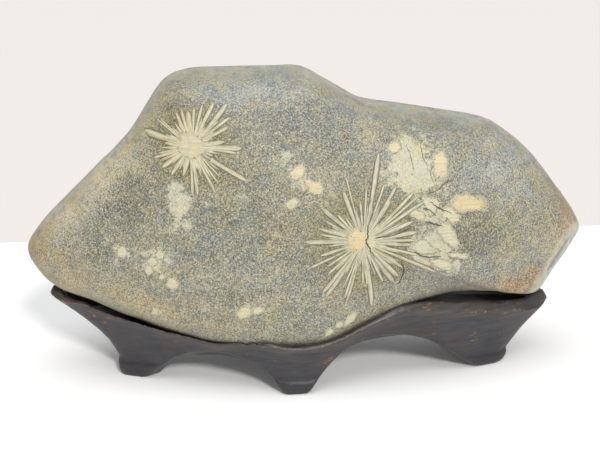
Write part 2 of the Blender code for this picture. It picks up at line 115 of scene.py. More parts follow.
# Straight bar beside the small flower: start x and z, angle in degrees, length, width.
SMALL_FLOWER_BAR = (-51.4, 126.9, -30, 20.5, 2.5)
LARGE_FLOWER = (24.5, 85.0, 5.5)
LARGE_FLOWER_BLADES = (
    (77, 43.5, 3.0), (68, 30, 1.6), (57, 32, 2.0), (56, 24.5, 3.2), (40, 35, 2.0), (35, 36, 1.6),
    (31, 37, 2.2), (18, 27, 2.4), (8, 28, 2.6), (0, 27, 1.8), (-8, 26, 2.0), (-16, 30, 1.8),
    (-24, 43, 2.4), (-35, 26, 2.0), (-46, 27.5, 3.2), (-55, 28.5, 3.2), (-64, 24.5, 2.0),
    (-79, 36, 3.0), (-85, 24, 1.6), (-91, 22.5, 1.6), (-103, 35.5, 1.8), (-108, 31, 1.8),
    (-122, 33.5, 2.8), (-128, 33, 2.4), (-137, 24, 1.6), (-146, 22, 1.6), (-154, 30, 1.8),
    (-164, 22.5, 2.0), (177, 29, 3.0), (167, 22, 1.4), (160, 23.5, 2.2), (149, 22, 1.4),
    (140, 27.5, 2.6), (133, 19, 1.6), (113, 27, 2.8), (106, 33, 1.2), (92, 20, 1.6), (86, 26, 1.4),
)
BLADE_SWELL = 1.12               # the blades' bodies are this much wider, for their dark sides
CORE_GLOW = 0.30                 # the blades turn this much warmer towards the core of a flower
DARKER_GROUNDS = ((-61.0, 133.0, 25.0), (24.5, 85.0, 34.0))   # darker ground round the flowers: x, z, reach
DARKER_FADE = 14.0
FILLER_REACH = (0.45, 0.85)      # reach of the thin blades between two large ones, as shares
FILLER_STEP = 4.6                # degrees between thin blades
HAIRLINE_STEPS = 7
CRYSTAL_CREASE = 35.0            # degrees between faces from which a crystal's edge is sharp
BLOCK_SWELL = 1.3                # the blocks are this much wider, for their ragged edges
# Crystal blocks apart from the flowers: x, z, length, width, turn in degrees, sides, tone 0 to 1
# from chalky to amber.
BLOCKS = (
    (42.6, 130.0, 6.0, 5.0, 10, 7, 0.75),
    (-8.5, 120.4, 7.5, 5.5, 40, 7, 0.75),
    (-2.5, 114.8, 6.0, 3.5, -40, 5, 0.75),
    (0.3, 112.3, 7.0, 6.0, -20, 7, 0.80),
    (-11.9, 105.2, 6.5, 4.4, 10, 6, 0.45),
    (-82.5, 75.0, 5.5, 4.5, 20, 6, 0.15),
    (-72.8, 63.5, 5.0, 6.0, 20, 5, 0.65),
    (-84.5, 70.5, 3.6, 4.6, 10, 5, 0.30),
    (-78.0, 67.0, 3.4, 3.0, 10, 5, 0.25),
    (-36.4, 48.6, 7.5, 5.5, 30, 6, 0.60),
    (-29.5, 50.0, 5.0, 3.6, 30, 5, 0.40),
    (-78.3, 78.7, 5.0, 4.2, 60, 5, 0.25),
    (-97.7, 79.1, 5.2, 5.0, 50, 5, 0.50),
    (7.8, 35.3, 6.0, 3.6, 50, 5, 0.35),
    (18.7, 42.0, 10.5, 4.0, 55, 6, 0.40),
    (13.0, 39.5, 4.0, 3.0, 40, 5, 0.15),
    (-82.4, 45.5, 5.0, 3.4, 75, 4, 0.70),
)
# Large flakes beside the large flower: tone, then the corners (x, z) of the outline.
FLAKES = (
    (0.90, ((69.2, 101.6), (74.2, 106.3), (80.0, 106.6), (89.4, 103.4), (92.8, 98.1), (89.4, 95.4),
            (79.2, 96.0), (74.5, 96.1), (70.8, 99.2))),
    (0.75, ((62.6, 127.1), (64.8, 128.8), (69.4, 128.1), (70.8, 123.7), (70.2, 119.6), (70.6, 114.8),
            (65.8, 112.1), (62.6, 113.4), (62.0, 120.3))),
    (0.30, ((54.7, 104.0), (58.4, 106.5), (63.4, 105.5), (66.4, 102.5), (63.4, 98.7), (59.6, 95.0),
            (57.1, 99.2))),
    (0.50, ((65.8, 99.6), (69.0, 101.2), (77.0, 95.4), (77.0, 91.4), (72.0, 90.6), (69.5, 93.7),
            (65.2, 95.1))),
    (0.35, ((61.5, 90.3), (64.8, 94.4), (69.5, 93.2), (72.0, 89.5), (75.7, 81.8), (77.0, 78.3),
            (74.5, 76.8), (69.5, 80.0), (65.2, 84.9))),
    (0.65, ((47.9, 97.1), (52.2, 100.7), (57.1, 98.1), (57.1, 94.1), (52.9, 93.9))),
    (0.10, ((47.3, 80.7), (51.0, 83.8), (57.1, 85.0), (62.1, 79.5), (67.0, 77.2), (62.1, 75.5),
            (55.9, 76.0), (52.2, 78.0))),
    (0.40, ((58.4, 73.0), (64.6, 74.1), (69.5, 72.0), (74.5, 67.7), (72.0, 65.6), (65.8, 67.2))),
    (0.25, ((67.4, 76.6), (75.7, 75.5), (81.9, 73.9), (82.5, 71.5), (78.2, 71.4), (70.8, 73.1))),
)
# Dark hairlines: width, height of their top above the skin, then the corners (x, z) of the route.
HAIRLINES = (
    (0.75, 0.52, ((26.4, 93.5), (27.0, 88.0), (26.0, 84.5), (28.6, 80.0), (30.6, 76.5))),
    (0.30, 0.50, ((44.4, 73.5), (46.4, 68.0), (44.2, 60.5))),
    (0.50, 0.54, ((71.5, 96.5), (64.0, 100.2), (59.5, 103.8))),
    (0.60, 0.54, ((57.5, 93.4), (62.0, 92.0), (66.5, 90.4))),
    (0.50, 0.54, ((63.0, 96.2), (59.0, 99.6), (56.0, 100.4))),
    (0.45, 0.50, ((51.5, 78.0), (57.5, 75.0), (66.0, 74.6))),
    (0.35, 0.46, ((58.0, 107.2), (63.5, 108.6), (69.0, 112.4), (72.5, 113.0))),
    (0.30, 0.06, ((-2.4, 69.8), (0.5, 64.0), (4.2, 52.6))),
    (0.35, 0.50, ((30.0, 87.0), (40.0, 87.6), (49.0, 90.5))),
    (0.32, 0.08, ((48.5, 131.5), (50.6, 125.5), (51.8, 118.5))),
    (0.34, 0.08, ((56.4, 132.0), (56.8, 126.0), (59.2, 120.5))),
    (0.30, 0.08, ((62.4, 121.5), (60.6, 117.0), (62.6, 111.8))),
)
# Colour zones of the show side: x, z, reach along x and z, turn in degrees, paint, strength.
ZONES = (
    (-5, 143, 36, 16, -8, "slate", 0.9),
    (-6, 150, 17, 10, 0, "charcoal", 0.95),
    (-30, 140, 26, 12, 10, "slate", 0.75),
    (-34, 158, 24, 8, 0, "light_grey", 0.95),
    (10, 155, 24, 10, -25, "light_grey", 0.6),
    (-53, 93, 16, 15, 0, "slate", 0.9),
    (-25, 95, 20, 18, 0, "slate", 0.8),
    (6, 128, 18, 12, -20, "slate", 0.6),
    (-40, 72, 18, 12, 20, "blue_grey", 0.6),
    # Painted shade in the hollow at x -96 to -111 (these three charcoal zones).
    (-96, 104, 11, 19, -35, "charcoal", 1.0),
    (-94, 102, 8, 12, -35, "charcoal", 0.8),
    (-111, 81, 12, 9, 0, "charcoal", 0.45),
    (-74, 150, 9, 8, 0, "charcoal", 0.5),
    (83, 84, 14, 15, 0, "charcoal", 1.0),
    (82, 85, 13, 12, 0, "charcoal", 1.0),
    (-6, 150, 14, 8, 0, "slate", 0.9),
    (72, 57, 20, 12, -15, "blue_grey", 0.8),
    (128, 60, 14, 9, 10, "olive", 0.5),
    (104, 92, 20, 14, -20, "olive", 0.5),
    (86, 128, 24, 14, -20, "blue_grey", 0.85),
    (104, 116, 18, 13, -30, "light_grey", 0.9),
    (-112, 112, 8, 14, -45, "pale_tan", 1.0),
    (-101, 124, 10, 12, -45, "pale_tan", 0.8),
    (-84, 146, 9, 16, -20, "pale_tan", 0.8),
    (-139, 79, 12, 16, 0, "rust", 0.6),
    (-131, 92, 10, 10, -45, "pale_tan", 0.8),
    (-130, 62, 14, 8, -30, "tan", 0.8),
    (-108, 56, 20, 8, -18, "tan", 0.7),
    (-84, 46, 20, 9, -18, "tan", 0.9),
    (-61, 133, 26, 20, 0, "gap", 0.8),
    (-48, 118, 16, 10, -25, "gap", 0.6),
    (24, 84, 42, 34, 0, "gap", 0.55),
    (-16, 93, 7, 9, 0, "rust", 0.45),
    (28, 141, 6, 6, 0, "rust", 0.4),
    (0, 112, 14, 12, 0, "tan", 0.35),
    (-38, 42, 22, 9, 10, "olive", 0.6),
    (-60, 60, 20, 14, 0, "olive", 0.25),
    (20, 55, 30, 14, 0, "light_grey", 0.2),
    (146, 84, 12, 20, 0, "ember", 0.7),
    (118, 52, 24, 9, 0, "ember", 1.0),
    (132, 66, 12, 12, 0, "tan", 0.6),
    (110, 66, 18, 10, 0, "light_grey", 0.35),
)
# Soft cloudy crystal masses: x, z, reach along x and z, turn in degrees, strength.
CLOUDS = (
    (53.0, 117.0, 20.0, 11.0, -12, 0.85),
    (50.0, 128.0, 13.0, 9.0, 10, 0.85),
    (60.0, 98.0, 14.0, 9.0, -40, 0.75),
    (61.0, 78.0, 14.0, 11.0, -30, 0.95),
    (72.0, 68.0, 9.0, 5.0, -20, 0.8),
    (47.0, 131.0, 9.0, 8.0, 40, 0.55),
    (-68.0, 104.0, 6.0, 13.0, 10, 0.85),
    (-55.0, 106.0, 3.5, 4.0, 0, 0.55),
    (-80.0, 76.0, 8.0, 9.0, 0, 0.75),
    (-97.0, 80.0, 6.0, 5.0, 0, 0.6),
    (-6.0, 117.0, 12.0, 7.0, -30, 0.6),
    (-14.0, 128.0, 9.0, 6.0, 10, 0.5),
    (-36.0, 49.0, 7.0, 5.0, 0, 0.6),
    (15.0, 39.0, 9.0, 4.0, 40, 0.5),
    (-82.0, 47.0, 7.0, 4.0, -20, 0.6),
)

# ---------------------------------------------------------------- stand, driving dimensions (mm)
STAND_FRAMES = (
    (-140.5, 0.0, 45.6, 5.6, -103.6, 0.0, 12.0),
    (-139.8, -3.0, 45.4, 5.4, -104.0, -4.0, 11.0),
    (-137.0, -6.0, 44.2, 5.2, -104.2, -7.0, 6.5),
    (-132.5, -9.0, 42.8, 2.6, -104.0, -9.5, 1.0),
    (-126.0, -12.0, 43.0, 0.9, -101.5, -12.5, 0.0),
    (-117.0, -15.8, 43.2, 0.9, -97.0, -14.6, 0.0),
    (-108.0, -19.5, 40.8, 0.9, -91.5, -16.8, 0.0),
    (-100.0, -22.8, 38.3, 0.9, -86.5, -19.4, 3.6),
    (-92.0, -25.8, 36.0, 0.8, -81.5, -22.2, 9.0),
    (-80.0, -30.2, 33.4, 0.8, -73.0, -26.4, 16.0),
    (-66.0, -35.2, 30.6, 0.8, -62.5, -31.0, 20.7),
    (-52.0, -39.9, 27.2, 0.8, -50.5, -35.8, 22.1),
    (-42.0, -42.8, 29.1, 0.8, -41.5, -38.9, 20.6),
    (-34.0, -44.9, 31.2, 0.8, -33.5, -41.2, 18.2),
    (-25.0, -47.0, 30.0, 0.8, -25.0, -43.4, 12.8),
    (-18.0, -48.4, 28.0, 0.8, -18.3, -45.0, 3.6),
    (-14.0, -49.0, 27.4, 0.8, -14.5, -46.0, 0.0),
    (-6.0, -49.2, 27.2, 0.8, -6.0, -46.4, 0.0),
    (-1.5, -49.0, 27.5, 0.9, -1.6, -46.0, 1.6),
    (5.0, -48.3, 28.4, 1.0, 4.4, -44.8, 10.6),
    (14.0, -47.0, 30.5, 1.2, 13.6, -42.8, 20.2),
    (25.0, -45.2, 34.9, 1.4, 24.5, -40.4, 27.0),
    (36.0, -42.8, 38.6, 2.4, 35.0, -37.8, 28.8),
    (48.0, -39.6, 41.7, 3.6, 47.0, -34.6, 27.4),
    (60.0, -36.4, 41.2, 4.4, 58.5, -31.6, 24.2),
    (76.0, -32.0, 39.2, 4.4, 74.0, -27.6, 16.2),
    (90.0, -27.8, 36.6, 4.8, 87.5, -23.6, 6.0),
    (99.0, -25.0, 35.0, 4.8, 95.5, -20.6, 0.4),
    (108.0, -21.8, 33.6, 4.8, 101.5, -18.6, 0.0),
    (117.0, -18.2, 32.2, 5.0, 107.5, -16.4, 0.0),
    (125.0, -14.2, 30.6, 5.8, 112.2, -12.8, 1.0),
    (131.5, -10.4, 29.8, 7.6, 114.4, -9.6, 6.0),
    (136.0, -6.6, 31.4, 6.8, 114.6, -7.0, 11.0),
    (138.6, -3.2, 33.0, 4.8, 114.6, -4.0, 12.8),
    (139.2, 0.0, 33.4, 4.4, 114.6, 0.0, 13.2),
)
FRAME_STEPS = 7                  # stations between one frame and the next
STAND_START = -140.5             # x of the left tip's ridge
STAND_LENGTH = 280.1             # the ridge's x divided by this runs from 0 to 1 along the stand
RIM_WIDTH = 4.2
RIDGE_RUN = 0.8
BEVEL_SHARE = 0.42
OWN_SIDE_SHARE = 0.3
ANKLES = (10.0, 7.0)
WALL_POWERS = (1.5, 1.15)
ANKLE_GROOVE = 0.8
FOOT_SWELL = 0.9
FOOT_EASE = 0.5                  # how far the foot draws in again at the floor
RIM_DROP = 4.5
FOOT_DEPTHS = (13.0, 8.5)
APRON_DEPTH = 6.5
INNER_DRAFT = 1.5
UNDERSIDE = ((-100, 19), (-60, 14.5), (-35, 12.5), (-10, 12.5), (6, 14.8), (14, 16), (34, 20.5),
             (60, 23), (105, 20))
# An arch's ceiling falls inwards by this share of its height over the belly, up to a limit in mm.
ARCH_FALL = (0.4, 3.0)
CEILING_SHARE = 0.4              # behind the apron it has come this much of the way down to the belly
BELLY_SHARES = (0.45, 0.25)      # the belly's side: share of the way to the spine, share of the rise left
DECK = ((-112, 39.5), (-80, 30), (-45, 24.5), (-10, 24), (14, 26), (34, 31), (60, 36.5), (112, 36))
SPINE_ENDS = (-86.0, 98.0)
DECK_ENDS = (-118.0, 118.0)
RIDGE = 4                        # place of the ridge in a frame's profile
LOW_EDGE = 16                    # the same for the low edge
WALL_ROWS = 9                    # rows of the outer wall between ridge and ankle
# Places rubbed bare on the show side: x, z, reach along x and z, strength.
WORN_PLACES = (
    (91.0, 20.5, 5.0, 3.5, 0.9),
    (106.0, 20.8, 4.0, 2.0, 0.8),
    (-31.0, 28.0, 9.0, 3.0, 0.8),
    (38.0, 39.0, 8.0, 3.0, 0.8),
    (7.0, 18.0, 9.0, 4.0, 0.8),
    (61.0, 44.0, 14.0, 2.2, 0.8),
    (112.0, 37.0, 14.0, 2.6, 0.8),
    (-111.0, 34.0, 10.0, 6.0, 0.5),
    (-84.0, 22.0, 8.0, 5.0, 0.4),
)
TOOL_MARKS = ((0.22, 9.0), (0.08, 3.0))   # height and size of the knife's unevenness in the wood

# ---------------------------------------------------------------- paints (linear RGB)
def srgb(red, green, blue):
    """Linear RGB of a colour given as it looks on a screen, 0 to 255."""
    channels = []
    for value in (red, green, blue):
        share = value / 255
        channels.append(share / 12.92 if share <= 0.04045 else ((share + 0.055) / 1.055) ** 2.4)
    return tuple(channels)


PAINTS = {
    "base": srgb(136, 134, 119),
    "blue_grey": srgb(120, 123, 122),
    "light_grey": srgb(162, 164, 162),
    "charcoal": srgb(90, 88, 78),
    "olive": srgb(138, 129, 98),
    "tan": srgb(176, 156, 120),
    "rust": srgb(172, 136, 94),
    "ember": srgb(152, 106, 62),
    "facet": srgb(190, 190, 180),
    # painted highlight along the front edge of the fracture facet
    "rim": srgb(206, 192, 170),
    "scar_floor": srgb(132, 134, 126),
    "scar": srgb(62, 65, 64),
    "gap": srgb(122, 112, 82),
    "slate": srgb(104, 107, 106),
    "pale_tan": srgb(200, 186, 160),
    # painted sheen of the skin's upper edges, partly its paler worn skin
    "edge": srgb(204, 203, 194),
}
SHEEN_FACING = (0.48, 0.12)       # painted sheen: the skin pales where its normal turns away from the show face, partly its paler worn skin
SHEEN_STRENGTH = 0.55
HUES = ((11.0, (1.02, 0.98, 0.84)), (14.0, (0.88, 0.96, 1.01)))   # size and tint of soft hue patches
FACET_EDGE = (1.5, 1.0)          # the facet's paint starts this far behind its plane; its blend
# reach of the painted highlight along the facet's front edge
RIM_HIGHLIGHT_REACH = 1.3

MIST = srgb(188, 187, 164)       # cloudy crystal in the skin
MIST_WARM = srgb(192, 183, 152)
MIST_STRENGTH = 0.85
GROUND_WARM = srgb(158, 150, 120)
GROUND_COOL = srgb(120, 124, 120)
FLECK = srgb(198, 198, 178)      # light grains of the skin
FLECK_SHARE = 0.72
GRAIN_SIZES = (0.88, 0.46)
SOOT = srgb(68, 62, 44)          # dark grains
SOOT_SHARE = 0.92
DULL = srgb(150, 142, 110)       # crystal, from the dullest tone to the warmest
CHALK = srgb(190, 186, 164)
CREAM = srgb(197, 190, 160)
AMBER = srgb(206, 186, 144)
CRYSTAL_DARK = srgb(92, 84, 58)
CRYSTAL_BED = srgb(162, 157, 134)
DARKER_TINT = (0.84, 0.80, 0.66)       # the darker ground's tint, times the stone's own colour
CRACK_DARK = srgb(48, 50, 40)
CRACK_LIGHT = srgb(86, 84, 64)
WOOD_DARK = srgb(37, 37, 41)
WOOD_LIGHT = srgb(59, 58, 62)
WOOD_BROWN = srgb(66, 55, 46)
# dust and painted sheen on the bevel
WOOD_DUST_AND_SHEEN = srgb(86, 80, 74)
WOOD_RUBBED = srgb(132, 98, 66)
FOOT_SHADE = 16.0                # painted shade: the wood darkens below this height
STAND_VOXEL = 0.9                # mm between the points of the stand's mesh
WEAR_REACHES = (1.3, 1.2)        # reach of the rubbed wood from the ridge and from the low edge
BEVEL_REACH = 5.0                # reach of the dusty bevel and its painted sheen from the ridge

# ---------------------------------------------------------------- camera, light and stage
FLOOR_PAINT = srgb(250, 250, 250)
FLOOR_GLOW = 0.05                # lifts the shadows on the white floor
FAR_PAINT = srgb(229, 224, 220)
SKY_PAINT = (1.0, 1.0, 1.0)
SKY_STRENGTH = 0.36
# Suns: name, azimuth it shines from, elevation, apparent width (degrees), strength, colour.
SUNS = (
    ("key", 14.0, 34.0, 9.0, 1.95, (1.0, 0.985, 0.96)),
    ("overhead", -20.0, 76.0, 50.0, 1.5, (0.98, 0.99, 1.0)),
)
VIEW_AZIMUTH = -5.5              # degrees; 0 looks along +Y
VIEW_ELEVATION = 17.0
VIEW_TARGET = (-3.0, 0.0, 80.0)  # point of the drawing in the middle of the picture
VIEW_DISTANCE = 595.3
LENS = 65.0
SEAM_Y = 236.0                   # where the white floor ends and the warmer ground behind it starts
STAGE_REACH = 6.0                # m


# ---------------------------------------------------------------- curves
def smooth_chain(rows, steps, closed):
    """Points of a Catmull-Rom curve through the rows, with the given steps from row to row."""
    rows = np.asarray(rows, float)
    if closed:
        padded = np.vstack([rows[-1:], rows, rows[:2]])
    else:
        padded = np.vstack([2 * rows[:1] - rows[1:2], rows, 2 * rows[-1:] - rows[-2:-1]])
    points = []
    for before, start, end, after in zip(padded, padded[1:], padded[2:], padded[3:]):
        for step in range(steps):
            u = step / steps
            points.append(0.5 * (2 * start + (end - before) * u
                                 + (2 * before - 5 * start + 4 * end - after) * u ** 2
                                 + (3 * start - before - 3 * end + after) * u ** 3))
    points.append(rows[0] if closed else rows[-1])
    return np.array(points)


OUTLINE_CURVE = smooth_chain(STONE_OUTLINE, OUTLINE_STEPS, closed=True)


def unit(vector):
    """The vector at length 1."""
    return np.array(vector) / np.linalg.norm(vector)


def to_frame(points):
    """Points of the drawing, in mm, as points of the frame, in metres."""
    return (np.asarray(points, float) - (MIDDLE[0], MIDDLE[1], 0.0)) * MM


# ---------------------------------------------------------------- stone surface
def outline_points(share):
    """Points (x, z) of the stone's outline at the given shares of its length, from the right tip."""
    length = np.concatenate([[0.0], np.cumsum(np.hypot(*np.diff(OUTLINE_CURVE, axis=0).T))])
    at = (share % 1.0) * length[-1]
    return np.interp(at, length, OUTLINE_CURVE[:, 0]), np.interp(at, length, OUTLINE_CURVE[:, 1])


def swells(x, z, table):
    """Height of the soft swells and hollows of one face, in mm."""
    height = np.zeros_like(x)
    for centre_x, centre_z, reach_x, reach_z, top in table:
        height += top * np.exp(-((x - centre_x) / reach_x) ** 2 - ((z - centre_z) / reach_z) ** 2)
    return height


def section_powers(edge_x, edge_z):
    """Superellipse powers of the section that ends at the given outline points."""
    edge_angle = np.arctan2(edge_z - STONE_CENTRE[1], edge_x - STONE_CENTRE[0])
    belly = (0.5 - 0.5 * np.sin(edge_angle)) ** 1.5
    belly *= np.exp(-((edge_x - BELLY_MIDDLE) / BELLY_REACH) ** 2)
    run_power = CROWN_POWERS[0] + (BASE_POWERS[0] - CROWN_POWERS[0]) * belly
    depth_power = CROWN_POWERS[1] + (BASE_POWERS[1] - CROWN_POWERS[1]) * belly
    return run_power, depth_power


def half_depth(x, z, table):
    """Distance from the outline's plane to a face, before the section rounds it off."""
    lean = HALF_DEPTH - DEPTH_LEAN * (z - STONE_CENTRE[1])
    return lean * (1 - END_THINNING * (x / 10) ** 2) + swells(x, z, table)


def stone_surface(directions):
    """Points of the boulder, in mm, for unit directions from its middle."""
    edge_x, edge_z = outline_points(np.arctan2(directions[:, 2], directions[:, 0]) / (2 * math.pi))
    run_power, depth_power = section_powers(edge_x, edge_z)
    latitude = np.arccos(np.clip(np.hypot(directions[:, 0], directions[:, 2]), 0.0, 1.0))
    share = np.cos(latitude) ** (2 / run_power)
    bulge = np.sin(latitude) ** (2 / depth_power)
    x = STONE_CENTRE[0] + (edge_x - STONE_CENTRE[0]) * share
    z = STONE_CENTRE[1] + (edge_z - STONE_CENTRE[1]) * share
    front = half_depth(x, z, FRONT_SWELLS) * bulge
    back = half_depth(x, z, BACK_SWELLS) * bulge
    return np.stack([x, np.where(directions[:, 1] < 0, -front, back), z], axis=1)


def scar_place(points):
    """Places along and across the scar, -1 to 1 within it, and how near the facet points are."""
    out = unit(BREAK_NORMAL)
    from_scar = points - SCAR_CENTRE
    along = from_scar @ unit(SCAR_RUN) / (0.5 * SCAR_SIZE[0])
    across = from_scar @ np.cross(out, unit(SCAR_RUN)) / (0.5 * SCAR_SIZE[1])
    return along, across, np.clip(1 - np.abs(from_scar @ out) / 3, 0.0, 1.0)


def scar_grooves(points):
    """1 in the middle of the scar's two grooves, 0 outside them."""
    along, across, nearness = scar_place(points)
    spread = np.sqrt(np.clip(1 - along ** 2, 0.0, 1.0))
    groove = np.exp(-((np.abs(across) - SCAR_GROOVE[0] * spread) / SCAR_GROOVE[1]) ** 2)
    return groove * spread * nearness


def scar_oval(points):
    """1 within the scar, 0 outside it."""
    along, across, nearness = scar_place(points)
    return np.clip(3 * (1 - along ** 2 - across ** 2), 0.0, 1.0) * nearness


def worn_break(points):
    """The points pressed behind the fracture plane, with a worn edge and the long scar."""
    out = unit(BREAK_NORMAL)
    beyond = (points - BREAK_POINT) @ out
    kept = 0.5 * (beyond - np.sqrt(beyond ** 2 + BREAK_SOFTNESS ** 2))
    pressed = points + np.outer(kept - beyond, out)
    return pressed - np.outer(SCAR_SIZE[2] * scar_grooves(pressed), out)


def pressed_on(cube):
    """The points of the boulder's surface that the vertices of a cube are pressed onto."""
    corners = np.tan(np.array([vertex.co for vertex in cube.verts]) * math.pi / 4)
    directions = corners / np.linalg.norm(corners, axis=1)[:, None]
    return worn_break(stone_surface(directions))


def divided_cube(divisions, finer_scar):
    """A cube of equal squares, with finer ones where the scar will lie."""
    cube = bmesh.new()
    bmesh.ops.create_cube(cube, size=2.0)
    bmesh.ops.subdivide_edges(cube, edges=cube.edges[:], cuts=divisions - 1, use_grid_fill=True)
    if finer_scar:
        cube.verts.index_update()
        near = np.linalg.norm(pressed_on(cube) - SCAR_CENTRE, axis=1) < SCAR_ZONE
        edges = [edge for edge in cube.edges if all(near[end.index] for end in edge.verts)]
        bmesh.ops.subdivide_edges(cube, edges=edges, cuts=SCAR_CUTS, use_grid_fill=True)
    return cube


def boulder(divisions, skin):
    """The boulder, pressed from a divided cube: as the worn skin, or as the form of its seat."""
    cube = divided_cube(divisions, skin)
    for vertex, point in zip(cube.verts, pressed_on(cube)):
        vertex.co = Vector(point)
    cube.normal_update()
    rise = undulation if skin else seat_gap
    moved = [vertex.co + vertex.normal * rise(vertex) for vertex in cube.verts]
    for vertex, point in zip(cube.verts, moved):
        vertex.co = point
    cube.normal_update()
    return cube


def undulation(vertex):
    """Height of the skin's fine waves at a vertex."""
    return sum(height * noise.noise(vertex.co / size) for height, size in UNDULATIONS)


def seat_gap(vertex):
    """Gap between the stone and its seat at a vertex; the floor of the seat stays close."""
    sideways = min(1.0, (1 - abs(vertex.normal.z)) / 0.15)
    relief = max(extra * math.exp(-((vertex.co.x - middle) / reach) ** 2)
                 for middle, reach, extra in SEAT_RELIEFS)
    return SEAT_GAP + sideways * relief


def mesh_from(bm, name):
    """A mesh in the frame's metres from a bmesh drawn in mm, which it frees."""
    mesh = bpy.data.meshes.new(name)
    bm.to_mesh(mesh)
    bm.free()
    points = np.zeros(len(mesh.vertices) * 3)
    mesh.vertices.foreach_get("co", points)
    mesh.vertices.foreach_set("co", to_frame(points.reshape(-1, 3)).ravel())
    mesh.update()
    mesh.shade_smooth()
    return mesh


def vertex_normals(mesh):
    """The normals of the mesh's vertices, one row each."""
    normals = np.zeros(len(mesh.vertices) * 3)
    mesh.vertices.foreach_get("normal", normals)
    return normals.reshape(-1, 3)


def drawing_points(mesh):
    """The mesh's vertices as points of the drawing, in mm."""
    points = np.zeros(len(mesh.vertices) * 3)
    mesh.vertices.foreach_get("co", points)
    return points.reshape(-1, 3) / MM + (MIDDLE[0], MIDDLE[1], 0.0)


# ---------------------------------------------------------------- fields painted on the skin
def patch(x, z, centre_x, centre_z, reach_x, reach_z, turn):
    """1 at the centre of a turned oval, falling softly to 0 at about twice its reach."""
    cos, sin = math.cos(math.radians(turn)), math.sin(math.radians(turn))
    along = ((x - centre_x) * cos + (z - centre_z) * sin) / reach_x
    across = ((z - centre_z) * cos - (x - centre_x) * sin) / reach_z
    return np.exp(-(along ** 2 + across ** 2) * 0.8)


def wandered(points, size, sway):
    """The points' x and z moved by a noise of the given size, so that patches have uneven edges."""
    offsets = np.array([noise.noise_vector(Vector(point) / size) for point in points]) * sway
    return points[:, 0] + offsets[:, 0], points[:, 2] + offsets[:, 2]


def lay_paint(tint, paint, weight):
    """Moves the points' tint towards a paint by the points' weights."""
    tint += (np.array(PAINTS[paint]) - tint) * weight[:, None]


def write_attribute(mesh, name, kind, values):
    """Writes one value or colour per point for the materials to read."""
    layer = mesh.attributes.new(name, kind, "POINT")
    layer.data.foreach_set("color" if kind == "FLOAT_COLOR" else "value", values.ravel())


def paint_skin(mesh):
    """Attributes of the skin: tint (with painted sheen, a painted highlight and painted shade), cloud
    (crystal mist), grain (strength of the speckle), darkening round the flowers.
    """
    points = drawing_points(mesh)
    x, z = wandered(points, 14.0, 9.0)
    show_side = 1 / (1 + np.exp(points[:, 1] / 4))
    tint = np.tile(PAINTS["base"], (len(points), 1))
    for centre_x, centre_z, reach_x, reach_z, turn, paint, strength in ZONES:
        weight = patch(x, z, centre_x, centre_z, reach_x, reach_z, turn) * strength * show_side
        lay_paint(tint, paint, np.clip(weight, 0, 1))
    for centre_x, centre_z, reach_x, reach_z, turn, paint, strength in ZONES[::2]:
        weight = patch(-x, z, centre_x, centre_z, 1.5 * reach_x, 1.5 * reach_z, turn)
        weight *= strength * (1 - show_side)
        lay_paint(tint, paint, np.clip(weight, 0, 1))
    beyond = (points - BREAK_POINT) @ unit(BREAK_NORMAL)
    facet = np.clip((beyond + FACET_EDGE[0]) / FACET_EDGE[1], 0, 1)
    # Painted highlight along the facet's front edge.
    rim = np.clip(1 - np.abs(beyond + FACET_EDGE[0]) / RIM_HIGHLIGHT_REACH, 0, 1)
    facing = np.abs(vertex_normals(mesh)[:, 1])
    # Painted sheen: the upper edges pale where they turn from the show face, partly the paler worn skin
    # there.
    edge = SHEEN_STRENGTH * np.clip((SHEEN_FACING[0] - facing) / (SHEEN_FACING[0] - SHEEN_FACING[1]), 0, 1)
    edge *= np.clip(points[:, 2] / 60 - 0.6, 0, 1)
    # Laid on here: the painted sheen ('edge'), the facet's paint, the painted highlight on its front edge
    # ('rim') and the scar.
    for paint, weight in (("edge", edge), ("facet", facet), ("rim", 0.8 * rim),
                          ("scar_floor", 0.85 * scar_oval(points)), ("scar", scar_grooves(points))):
        lay_paint(tint, paint, weight)
    cloud = np.zeros(len(points))
    near_x, near_z = wandered(points, 5.0, 3.0)
    for centre_x, centre_z, reach_x, reach_z, turn, strength in CLOUDS:
        cloud = np.maximum(cloud, strength * patch(near_x, near_z, centre_x, centre_z,
                                                   reach_x, reach_z, turn))
    grain = (0.35 + 0.65 * np.clip((facing - 0.35) / 0.45, 0, 1)) * (1 - 0.8 * facet) * (1 - 0.6 * rim)
    write_attribute(mesh, "tint", "FLOAT_COLOR", np.hstack([tint, np.ones((len(points), 1))]))
    # Darker, browner ground round each flower.
    darkening = np.zeros(len(points))
    for centre_x, centre_z, reach in DARKER_GROUNDS:
        radius = np.hypot(near_x - centre_x, near_z - centre_z)
        darkening = np.maximum(darkening, np.clip((reach - radius) / DARKER_FADE, 0, 1))
    write_attribute(mesh, "darkening", "FLOAT", darkening * show_side)
    write_attribute(mesh, "cloud", "FLOAT", cloud * show_side)
    write_attribute(mesh, "grain", "FLOAT", grain)


# ---------------------------------------------------------------- crystals
def chipped(corners, rounds, depth, draw):
    """A closed outline with its sides broken up by midpoints moved in and out."""
    for _ in range(rounds):
        denser = []
        for corner, after in zip(corners, corners[1:] + corners[:1]):
            out = np.array((after[1] - corner[1], corner[0] - after[0]))
            denser += [corner, 0.5 * (corner + after) + out * draw.uniform(-depth, depth)]
        corners = denser
    return corners


